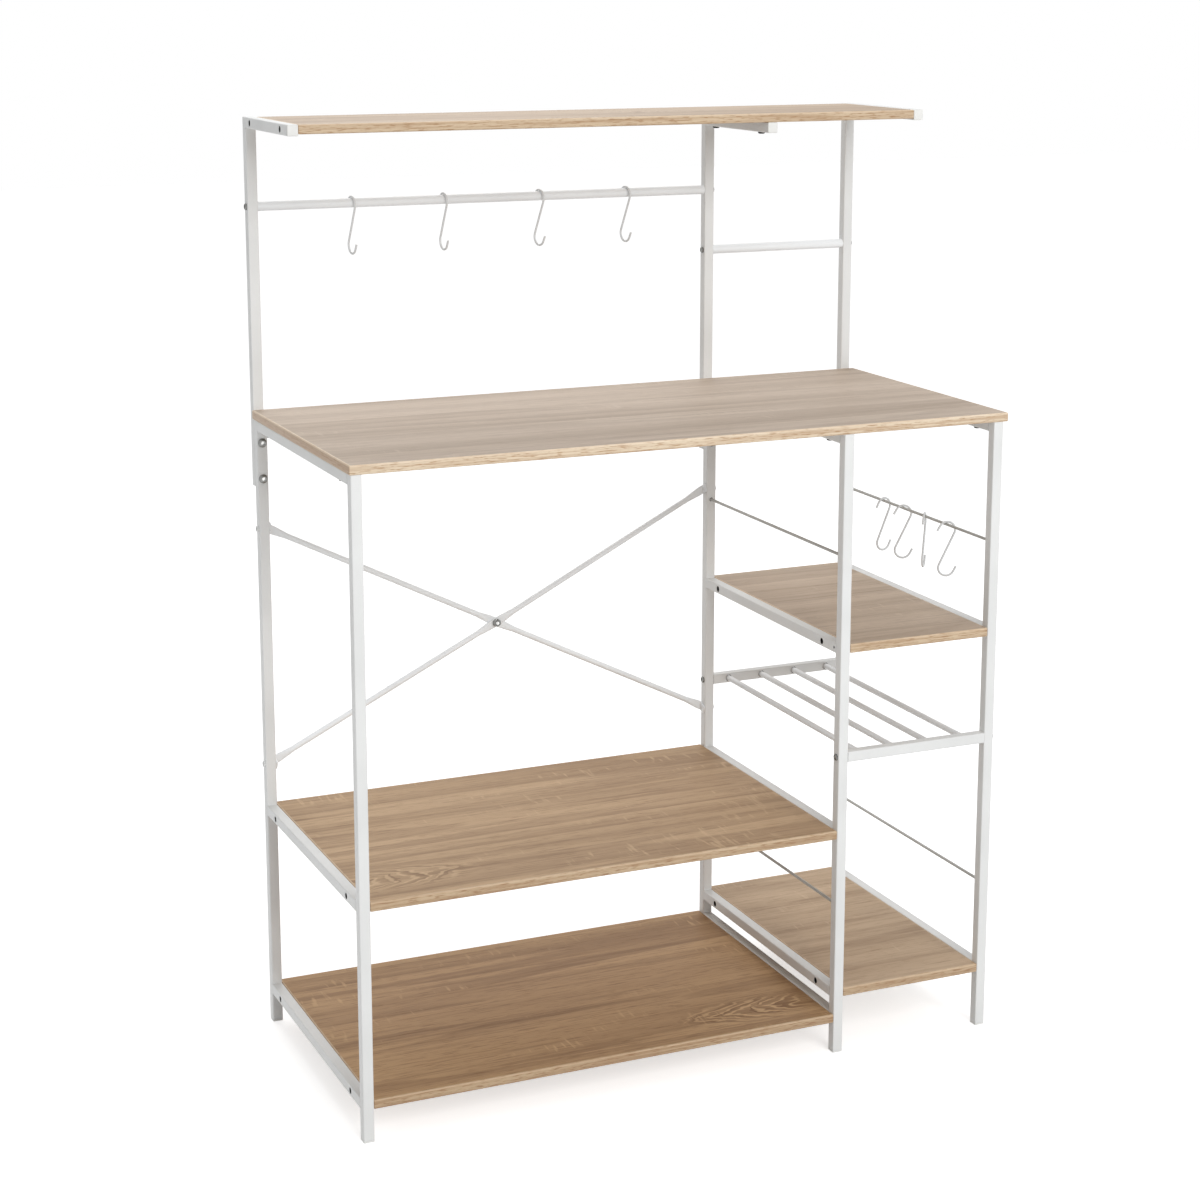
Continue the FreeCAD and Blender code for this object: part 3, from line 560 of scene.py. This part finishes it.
def skin(mesh, rings, closed=False, tones=None, start=0):
    """Join rings of points into one solid: capped at both ends, or closed on itself.
    The tones are the material indices of the strips, with the cap on the last ring at the end,
    and start is that of the cap on the first ring."""
    loops = [[mesh.verts.new(point) for point in points] for points in rings]
    pairs = list(zip(loops, loops[1:] + loops[:1])) if closed else list(zip(loops, loops[1:]))
    tones = tones or [0] * (len(pairs) + 1)
    for (lower, upper), tone in zip(pairs, tones):
        for index, point in enumerate(lower):
            after = (index + 1) % len(lower)
            face = mesh.faces.new((point, lower[after], upper[after], upper[index]))
            face.material_index = tone
            face.smooth = True
    if not closed:
        mesh.faces.new(loops[0][::-1]).material_index = start
        mesh.faces.new(loops[-1]).material_index = tones[-1]


def finished_piece(name, mesh, materials, replaced=()):
    """Turn built geometry into a piece that rides on the rack."""
    bmesh.ops.recalc_face_normals(mesh, faces=mesh.faces)
    data = bpy.data.meshes.new(name)
    mesh.to_mesh(data)
    mesh.free()
    data.set_sharp_from_angle(angle=SHARP_ANGLE)
    for material in materials:
        data.materials.append(material)
    piece = bpy.data.objects.new(name, data)
    bpy.context.scene.collection.objects.link(piece)
    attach(piece, RACK)
    if replaced:
        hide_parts(*replaced)


def coat_node(node, material):
    """Give a frame node one material."""
    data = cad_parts[node].data
    data.materials.clear()
    data.materials.append(material)


def rounded_outline(low, high, corner, inset, height):
    """Rectangle with round corners, drawn in by an inset, at a height."""
    radius = max(corner - inset, LEAST_CORNER)
    points = []
    for x, y, start in ((high.x, high.y, 0), (low.x, high.y, 1), (low.x, low.y, 2), (high.x, low.y, 3)):
        across = 1 if x == high.x else -1
        deep = 1 if y == high.y else -1
        centre = Vector((x - across * (inset + radius), y - deep * (inset + radius), height))
        for step in range(CORNER_POINTS):
            turn = TURN / 4 * (start + step / (CORNER_POINTS - 1))
            points.append(centre + radius * Vector((math.cos(turn), math.sin(turn), 0)))
    return points


def board_mesh(low, high, sizes):
    """Board with rounded edges: its faces, its edge band, and the trim between the band and the top, which
    is a painted highlight.
    """
    edge = sizes.board_edge
    thick = high.z - low.z
    lower = [(edge * (1 - math.sin(turn)), edge * (1 - math.cos(turn)))
             for turn in quarter_turns(EDGE_STEPS)]
    profile = [(sizes.band_lip, 0.0)] + lower
    profile += [(inset, thick - height) for inset, height in profile[::-1]]
    rings = [rounded_outline(low, high, sizes.board_corner, inset, low.z + height)
             for inset, height in profile]
    mesh = bmesh.new()
    rounded = len(rings) // 2 - 1
    # The rounding along the top edge takes the painted highlight; the rounding along the bottom keeps the
    # band's tone.
    skin(mesh, rings, tones=[BAND] * (rounded + 1) + [HIGHLIGHT_TRIM] * rounded + [FACE])
    return mesh


def bolt_into(mesh, stand, length, head, height, sizes, tones=(STEEL, SOCKET_HIGHLIGHT, STEEL)):
    """Button-head bolt: shank, domed head and hexagon socket.
    The tones are those of its shank and head, of its socket, whose bottom holds a painted highlight, and of
    its tip."""
    shank = sizes.bolt_shank
    brim = height * 0.28
    mouth = sizes.socket_flats * 0.62
    rings = [ring(stand, round_shape(shank * 0.8), -length),
             ring(stand, round_shape(shank), -length + shank * 0.3),
             ring(stand, round_shape(shank), 0.0),
             ring(stand, round_shape(head * 0.97), 0.0)]
    rings += [ring(stand, round_shape(mouth + (head - mouth) * math.cos(turn)),
                   brim + (height - brim) * math.sin(turn)) for turn in quarter_turns(DOME_STEPS)[:-1]]
    rings += [ring(stand, round_shape(mouth), height),
              ring(stand, hexagon_shape(sizes.socket_flats), height * 0.94),
              ring(stand, hexagon_shape(sizes.socket_flats), height * 0.5)]
    # The socket's tone is the painted highlight.
    steel, socket, tip = tones
    skin(mesh, rings, tones=[tip] + [steel] * (len(rings) - 2) + [socket], start=tip)


def nut_onto(mesh, stand, flats, height, bore):
    """Hexagon nut with chamfered corners and a bore."""
    face = round_shape(flats * 0.49)
    chamfer = height * 0.12
    rings = [ring(stand, round_shape(bore), 0.0), ring(stand, face, 0.0),
             ring(stand, hexagon_shape(flats), chamfer),
             ring(stand, hexagon_shape(flats), height - chamfer),
             ring(stand, face, height), ring(stand, round_shape(bore * 1.12), height),
             ring(stand, round_shape(bore), height - chamfer)]
    skin(mesh, rings, closed=True)


def screw_into(mesh, stand, shank, length, head, height):
    """Pan-head wood screw with a cross recess and a pointed shank."""
    brim = height * 0.2
    recess = cross_shape(head * 0.52, head * 0.14)
    top = head * 0.6
    rings = [ring(stand, round_shape(shank * 0.08), -length),
             ring(stand, round_shape(shank), -length + shank * 3),
             ring(stand, round_shape(shank), 0.0),
             ring(stand, round_shape(head), 0.0)]
    rings += [ring(stand, round_shape(top + (head - top) * math.cos(turn)),
                   brim + (height - brim) * math.sin(turn)) for turn in quarter_turns(PAN_STEPS)[:-1]]
    rings += [ring(stand, round_shape(top), height), ring(stand, recess, height),
              ring(stand, cross_shape(head * 0.36, head * 0.09), height * 0.35)]
    skin(mesh, rings)


def plug_into(mesh, stand, width, wall, head, stem, sizes):
    """Tube plug: a head with rounded edges, a seam, and a stem in the bore."""
    half = Vector((width / 2, width / 2, 0))
    edge = sizes.plug_round
    seam = sizes.plug_seam
    outline = [(edge * (1 - math.sin(turn)), -head + edge * (1 - math.cos(turn)))
               for turn in quarter_turns(EDGE_STEPS)]
    outline += [(0.0, -seam * 2), (seam, -seam), (wall, -seam), (wall, stem - wall), (wall * 1.6, stem)]
    rings = [[stand @ point for point in rounded_outline(-half, half, edge + 0.3 * MM, inset, height)]
             for inset, height in outline]
    skin(mesh, rings)


def bar_bead(mesh, start, end, first, second, leg):
    """Weld bead with ripples along an inner corner, from start to end."""
    rings = []
    for step in range(BEAD_RIPPLES + 1):
        share = step / BEAD_RIPPLES
        ripple = 1.0 + 0.07 * math.cos(TURN * step / 2)
        size = leg * ripple * min(1.0, 0.55 + 2.2 * min(share, 1 - share))
        corner = start.lerp(end, share)
        rings.append([corner - (first + second) * leg * 0.1, corner + first * size,
                      corner + (first * 0.78 + second * 0.2) * size * 0.86,
                      corner + (first + second) * size * 0.4,
                      corner + (first * 0.2 + second * 0.78) * size * 0.86, corner + second * size])
    skin(mesh, rings)


def brace_into(mesh, crossing, reach, climb, lean, flat, sizes):
    """Tube brace pressed flat at its crossing and at its ends, each end folded forward along its post.
    The reach and climb go from the crossing to an end's bolt; the lean is its side of the other brace."""
    fold, setback = sizes.brace_fold, sizes.brace_setback
    start = reach - fold - flat / 2
    span = start + fold * TURN / 4 + setback - fold
    axis = Vector((span, 0, climb)).normalized()
    across = Vector((-axis.z, 0, axis.x))
    to_bolt = span / axis.x
    end_flat = to_bolt - sizes.brace_end - (span - start) / axis.x

    def pressed(along):
        """Share of flatness at a distance from the crossing."""
        beyond = max(along - sizes.brace_centre, 0.0), max(end_flat - along, 0.0)
        return max(1 - min(beyond) / sizes.brace_taper, 0.0)

    def folded(point):
        """Carry a point past the fold round on to the post's face."""
        past = abs(point.x) - start
        if past <= 0:
            return point
        turn = min(past / fold, TURN / 4)
        out = fold + point.y - setback
        return Vector((math.copysign(start + out * math.sin(turn), point.x),
                       setback - fold + out * math.cos(turn) - max(past - fold * TURN / 4, 0.0), point.z))

    half = [0.0, sizes.brace_centre]
    tapers = [sizes.brace_taper * step / TAPER_STEPS for step in range(1, TAPER_STEPS + 1)]
    half += [sizes.brace_centre + taper for taper in tapers]
    half += [end_flat - taper for taper in reversed(tapers)]
    tail = to_bolt + sizes.brace_tip - end_flat
    half += [end_flat + tail * step / FOLD_STEPS for step in range(FOLD_STEPS + 1)]
    rings = []
    for place in [-along for along in half[:0:-1]] + half:
        share = pressed(abs(place))
        wide = sizes.brace_radius + share * (sizes.brace_press / 2 - sizes.brace_radius)
        thick = sizes.brace_radius + share * (flat / 2 - sizes.brace_radius)
        outer = min(abs(place) * axis.x / start, 1.0)
        centre = axis * place + BACK * (lean * flat / 2 * (1 - outer) + setback * outer)
        points = []
        for step in range(RING_POINTS):
            turn = TURN * step / RING_POINTS
            side, depth = (math.copysign(abs(part) ** (1 - PRESSED_CORNERS * share), part)
                           for part in (math.cos(turn), math.sin(turn)))
            points.append(crossing + folded(centre + across * wide * side + BACK * thick * depth))
        rings.append(points)
    skin(mesh, rings)


class RACK_OT_coat_frame(bpy.types.Operator):
    """Powder coat the tubes, rods and rails"""

    bl_idname = "rack.coat_frame"
    bl_label = "Coat the frame"

    def execute(self, context):
        colours = context.scene.rack_colours
        paint, bare = tuple(colours.paint), tuple(colours.bare_bore)
        powder_coat("white_powder_coat", paint)
        # The round stock takes the lightened copy of the coat, painted light that lifts it out of shade.
        coats = {ROUND_STOCK: powder_coat("lightened_rod_coat", tuple(colours.lightened_rod_paint)),
                 GUARD_RODS: powder_coat("guard_rod_coat", tuple(colours.guard_paint))}
        for name, starts, bore in TUBES:
            coats[starts] = powder_coat(name, paint, bare, bore)
        for node in COATED:
            coat_node(node, next(coat for starts, coat in coats.items() if node.startswith(starts)))
        return {"FINISHED"}


class RACK_OT_lay_welds(bpy.types.Operator):
    """Lay coated weld beads under the cross bars' ends"""

    bl_idname = "rack.lay_welds"
    bl_label = "Lay the weld beads"

    def execute(self, context):
        sizes = context.scene.rack_sizes
        coat = bpy.data.materials["white_powder_coat"]
        beads = bmesh.new()
        for bar in CROSS_BARS:
            low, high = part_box(bar)
            for y, inward in ((low.y, BACK), (high.y, FRONT)):
                start, end = (Vector((x, y, low.z)) for x in (low.x + BEAD_INSET, high.x - BEAD_INSET))
                bar_bead(beads, start, end, inward, DOWN, sizes.bead_leg)
        finished_piece("weld_beads", beads, [coat])
        return {"FINISHED"}


class RACK_OT_form_braces(bpy.types.Operator):
    """Form the two crossing tube braces, pressed flat and folded at their ends"""

    bl_idname = "rack.form_braces"
    bl_label = "Form the braces"

    def execute(self, context):
        sizes = context.scene.rack_sizes
        # The braces take the lightened rod coat, painted light.
        coat = bpy.data.materials["lightened_rod_coat"]
        crossing, flat = brace_crossing()
        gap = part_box("post_mid_rear")[0].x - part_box("post_left_rear")[1].x
        bolts_low, bolts_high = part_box("brace_bolts")
        ends_low, ends_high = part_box("bottle_rack_bolts")
        climb = (bolts_high.z - bolts_low.z) - (ends_high.z - ends_low.z)
        for node, rise, lean in (("brace_rising", 1, -1), ("brace_falling", -1, 1)):
            mesh = bmesh.new()
            brace_into(mesh, crossing, gap / 2, rise * climb / 2, lean, flat, sizes)
            finished_piece(f"{node}_formed", mesh, [coat], (node,))
        return {"FINISHED"}


class RACK_OT_make_boards(bpy.types.Operator):
    """Make the six oak boards with their edge bands"""

    bl_idname = "rack.make_boards"
    bl_label = "Make the boards"

    def execute(self, context):
        colours, sizes = context.scene.rack_colours, context.scene.rack_sizes
        for seed, node in enumerate(BOARDS, start=1):
            low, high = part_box(node)
            looks = BOARD_LOOKS[node]
            flame = looks["flame"]
            if flame:
                share_x, share_y, heading = flame
                flame = (low.x + share_x * (high.x - low.x), low.y + share_y * (high.y - low.y), heading)
            # Face and band are darkened and warmed by the board's shares of painted shade.
            face = oak_laminate(f"oak_{node}", float(seed), flame, looks["face"], colours, sizes)
            band, trim = (edge_band(f"{kind}_{node}", *(shade_toned(colour, DEEPEST_BAND_SHADE, looks["band"])
                                                        for colour in pair))
                          for kind, pair in (("band", (colours.band_light, colours.band_dark)),
                                             ("trim", (colours.trim_light, colours.trim_dark))))
            finished_piece(f"{node}_board", board_mesh(low, high, sizes), [face, band, trim],
                           (node,))
        return {"FINISHED"}


class RACK_OT_coat_hooks(bpy.types.Operator):
    """Coat the loose wire hooks"""

    bl_idname = "rack.coat_hooks"
    bl_label = "Coat the hooks"

    def execute(self, context):
        coat = powder_coat("hook_wire_coat", tuple(context.scene.rack_colours.hook_coat))
        for node in HOOKS:
            coat_node(node, coat)
        return {"FINISHED"}


class RACK_OT_make_bolts(bpy.types.Operator):
    """Make the button-head bolts, and the nut where the braces cross"""

    bl_idname = "rack.make_bolts"
    bl_label = "Make the bolts"

    def execute(self, context):
        colours, sizes = context.scene.rack_colours, context.scene.rack_sizes
        # Plated metal for the bolts, and a bright copy of it as the painted highlight in the sockets.
        metal_and_highlight = [plated_metal("plated_bolt", tuple(colours.bolt_metal), 0.26),
                  plated_metal("painted_socket_highlight", tuple(colours.socket_highlight), 0.2)]
        post_low, post_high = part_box("post_left_rear")
        tube = post_high.x - post_low.x
        lap_low, lap_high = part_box("upper_post_bolts")
        lap_head = middle("post_left_rear").x - lap_low.x
        lap_height = post_low.y - lap_low.y
        end_low, end_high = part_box("bottle_rack_bolts")
        head = (end_high.z - end_low.z) / 2
        height = end_high.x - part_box("post_right_rear")[1].x
        reach = lap_high.y - post_low.y

        laps = bmesh.new()
        for side in SIDES:
            for z in (lap_high.z - lap_head, lap_low.z + lap_head):
                seat = Vector((middle(f"post_{side}_rear").x, post_low.y, z))
                bolt_into(laps, standing(seat, FRONT), reach, lap_head, lap_height, sizes)
        finished_piece("upper_post_bolts_heads", laps, metal_and_highlight, ("upper_post_bolts",))

        rails = bmesh.new()
        for rail, first, last in (("long", "left", "mid"), ("short", "mid", "right")):
            for side, outward in ((first, LEFT), (last, RIGHT)):
                post = middle(f"upper_post_{side}")
                seat = Vector((post.x, post.y, middle(f"hook_rail_{rail}").z)) + outward * tube / 2
                bolt_into(rails, standing(seat, outward), reach, head, height, sizes)
        finished_piece("rail_bolts_heads", rails, metal_and_highlight, ("rail_bolts",))

        bottle = bmesh.new()
        for end in ("front", "rear"):
            bar = middle(f"bottle_bar_{end}")
            for side, outward in (("mid", LEFT), ("right", RIGHT)):
                seat = Vector((middle(f"post_{side}_{end}").x, bar.y, bar.z)) + outward * tube / 2
                bolt_into(bottle, standing(seat, outward), reach, head, height, sizes)
        finished_piece("bottle_rack_bolts_heads", bottle, metal_and_highlight, ("bottle_rack_bolts",))

        coat = bpy.data.materials["white_powder_coat"]
        low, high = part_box("brace_bolts")
        crossing, flat = brace_crossing()
        braces = bmesh.new()
        for side, outward in (("left", LEFT), ("mid", RIGHT)):
            post = middle(f"post_{side}_rear")
            for z in (high.z - head, low.z + head):
                seat = Vector((post.x, post.y, z)) + outward * tube / 2
                bolt_into(braces, standing(seat, outward), tube + flat, head, height, sizes, (COAT,) * 3)
        nut = crossing.y - flat - low.y - BOLT_TAIL
        # The crossing bolt's tip, showing in the nut, also takes the painted highlight.
        bolt_into(braces, standing(crossing + BACK * flat, BACK), 2 * flat + nut + BOLT_TAIL,
                  head, height, sizes, (STEEL, SOCKET_HIGHLIGHT, SOCKET_HIGHLIGHT))
        nut_onto(braces, standing(crossing + FRONT * flat, FRONT), tube * NUT_OF_TUBE, nut,
                 sizes.bolt_shank * 1.02)
        finished_piece("brace_bolts_heads", braces, metal_and_highlight + [coat], ("brace_bolts",))
        return {"FINISHED"}


class RACK_OT_make_screws(bpy.types.Operator):
    """Make the screws under the bars, and blacken those in the boards' ends"""

    bl_idname = "rack.make_screws"
    bl_label = "Make the screws"

    def execute(self, context):
        black = blackened_steel("black_screw", tuple(context.scene.rack_colours.screw_black))
        coat_node("board_end_screws", black)
        low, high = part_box("board_under_screws")
        bar_low, bar_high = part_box("bar_mid_top")
        arm_low, arm_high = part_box("shelf_arm_mid")
        head = middle("bar_left_top").x - low.x
        height = bar_low.z - low.z
        length = high.z - arm_low.z
        inset = low.y + head - bar_low.y
        back = arm_high.y - (high.y - head)
        seats = [Vector((middle(f"bar_{side}_top").x, y, bar_low.z))
                 for side in SIDES for y in (bar_low.y + inset, bar_high.y - inset)]
        seats += [Vector((middle("shelf_arm_mid").x, y, arm_low.z))
                  for y in (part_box("arm_plugs")[0].y + back, arm_high.y - back)]
        mesh = bmesh.new()
        for seat in seats:
            screw_into(mesh, standing(seat, DOWN), head * 0.4, length, head, height)
        finished_piece("board_under_screws_heads", mesh, [black], ("board_under_screws",))
        return {"FINISHED"}


class RACK_OT_make_plugs(bpy.types.Operator):
    """Make the moulded plugs in the posts' feet and the arms' front ends"""

    bl_idname = "rack.make_plugs"
    bl_label = "Make the plugs"

    def execute(self, context):
        sizes = context.scene.rack_sizes
        white = moulded_plastic("white_moulding", tuple(context.scene.rack_colours.plug_white))
        feet_low, feet_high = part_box("foot_plugs")
        post_low, post_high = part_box("post_left_front")
        width = post_high.x - post_low.x
        head = post_low.z - feet_low.z
        stem = feet_high.z - post_low.z
        wall = width * WALL_OF_TUBE
        feet = bmesh.new()
        for side in SIDES:
            for end in ("front", "rear"):
                centre = middle(f"post_{side}_{end}")
                plug_into(feet, standing(Vector((centre.x, centre.y, post_low.z)), UP),
                          width, wall, head, stem, sizes)
        finished_piece("foot_plugs_moulded", feet, [white], ("foot_plugs",))
        arms = bmesh.new()
        for side in SIDES:
            centre = middle(f"shelf_arm_{side}")
            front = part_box(f"shelf_arm_{side}")[0].y
            plug_into(arms, standing(Vector((centre.x, front, centre.z)), BACK),
                      width, wall, head, stem, sizes)
        finished_piece("arm_plugs_moulded", arms, [white], ("arm_plugs",))
        return {"FINISHED"}


class RACK_OT_set_stage(bpy.types.Operator):
    """Lay the floor and set the light and the camera"""

    bl_idname = "rack.set_stage"
    bl_label = "Set the stage"

    def execute(self, context):
        scene = context.scene
        stage = scene.rack_stage
        scene.view_settings.view_transform = "Standard"
        self.lay_floor(scene)
        self.light(scene, stage)
        self.point_camera(scene, stage)
        return {"FINISHED"}

    def lay_floor(self, scene):
        """Pale matt floor that the camera sees as white where no shadow falls."""
        material, paper = new_material("studio_floor")
        grain = paper.noise(paper.place(), (30.0,) * 3, 2.0)
        ground = tuple(scene.rack_colours.floor)
        paper.dress(base_color=paper.mixed(ground, tuple(0.99 * part for part in ground), grain),
                    roughness=0.9)
        matt = Value(paper, paper.surface.outputs[0])
        glow = paper.node("ShaderNodeEmission", {}, {"Color": WHITE, "Strength": FLOOR_GLOW})
        both = paper.node("ShaderNodeAddShader", {}, {0: matt, 1: glow})
        shown = paper.node("ShaderNodeMixShader", {}, {0: seen_directly(paper), 1: matt, 2: both})
        paper.feed(paper.tree.nodes["Material Output"].inputs["Surface"], shown)
        mesh = bmesh.new()
        bmesh.ops.create_grid(mesh, x_segments=4, y_segments=4, size=FLOOR_REACH)
        data = bpy.data.meshes.new("studio_floor")
        mesh.to_mesh(data)
        mesh.free()
        data.materials.append(material)
        floor = bpy.data.objects.new("studio_floor", data)
        scene.collection.objects.link(floor)

    def light(self, scene, stage):
        """Even sky, white to the eye and in reflections, and two large soft lamps.
        Only the top lamp shows in reflections, so that boards seen from behind keep their colour."""
        scene.world = bpy.data.worlds.new("studio")
        scene.world.use_nodes = True
        sky = Finish(scene.world.node_tree)
        sky.tree.nodes.remove(sky.tree.nodes["Background"])
        even, white = (sky.node("ShaderNodeBackground", {}, {"Color": WHITE, "Strength": level})
                       for level in (stage.sky, 1.0))
        shown = sky.node("ShaderNodeMixShader", {}, {0: seen_directly(sky), 1: even, 2: white})
        sky.feed(sky.tree.nodes["World Output"].inputs["Surface"], shown)
        lamps = (("top_lamp", stage.top_place, stage.top_size, stage.top_power, True),
                 ("front_lamp", stage.front_place, stage.front_size, stage.front_power, False))
        for name, place, size, power, mirrored in lamps:
            lamp = bpy.data.lights.new(name, "AREA")
            lamp.energy = power
            lamp.size = size
            stand = bpy.data.objects.new(name, lamp)
            stand.location = place
            stand.rotation_mode = "QUATERNION"
            stand.rotation_quaternion = (Vector(place) - Vector(stage.lamp_aim)).to_track_quat("Z", "Y")
            stand.visible_camera = False
            stand.visible_glossy = mirrored
            scene.collection.objects.link(stand)

    def point_camera(self, scene, stage):
        """Camera at the photograph's viewing angle."""
        data = bpy.data.cameras.new("photo_camera")
        data.sensor_width = SENSOR_WIDTH
        data.lens = stage.lens
        data.shift_y = stage.camera_shift
        camera = bpy.data.objects.new("photo_camera", data)
        camera.location = stage.camera_place
        camera.rotation_euler = (math.pi / 2 + stage.camera_pitch, 0.0, -stage.camera_yaw)
        scene.collection.objects.link(camera)
        scene.camera = camera


class RACK_PT_looks(bpy.types.Panel):
    """Settings of the rack's looks, and the steps that make them"""

    bl_idname = "RACK_PT_looks"
    bl_label = "Kitchen rack"
    bl_space_type = "VIEW_3D"
    bl_region_type = "UI"
    bl_category = "Rack"

    def draw(self, context):
        for operator in STEPS:
            self.layout.operator(operator.bl_idname)
        for group in (context.scene.rack_colours, context.scene.rack_sizes, context.scene.rack_stage):
            box = self.layout.box()
            for setting in group.__annotations__:
                box.prop(group, setting)


STEPS = (RACK_OT_coat_frame, RACK_OT_lay_welds, RACK_OT_form_braces, RACK_OT_make_boards,
         RACK_OT_coat_hooks, RACK_OT_make_bolts, RACK_OT_make_screws, RACK_OT_make_plugs,
         RACK_OT_set_stage)
CLASSES = (RackColours, RackSizes, RackStage) + STEPS + (RACK_PT_looks,)


def register():
    for each in CLASSES:
        bpy.utils.register_class(each)
    bpy.types.Scene.rack_colours = PointerProperty(type=RackColours)
    bpy.types.Scene.rack_sizes = PointerProperty(type=RackSizes)
    bpy.types.Scene.rack_stage = PointerProperty(type=RackStage)


def unregister():
    del bpy.types.Scene.rack_stage
    del bpy.types.Scene.rack_sizes
    del bpy.types.Scene.rack_colours
    for each in reversed(CLASSES):
        bpy.utils.unregister_class(each)


def main():
    """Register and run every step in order."""
    register()
    bpy.ops.rack.coat_frame()
    bpy.ops.rack.lay_welds()
    bpy.ops.rack.form_braces()
    bpy.ops.rack.make_boards()
    bpy.ops.rack.coat_hooks()
    bpy.ops.rack.make_bolts()
    bpy.ops.rack.make_screws()
    bpy.ops.rack.make_plugs()
    bpy.ops.rack.set_stage()


if __name__ == "__main__":
    main()
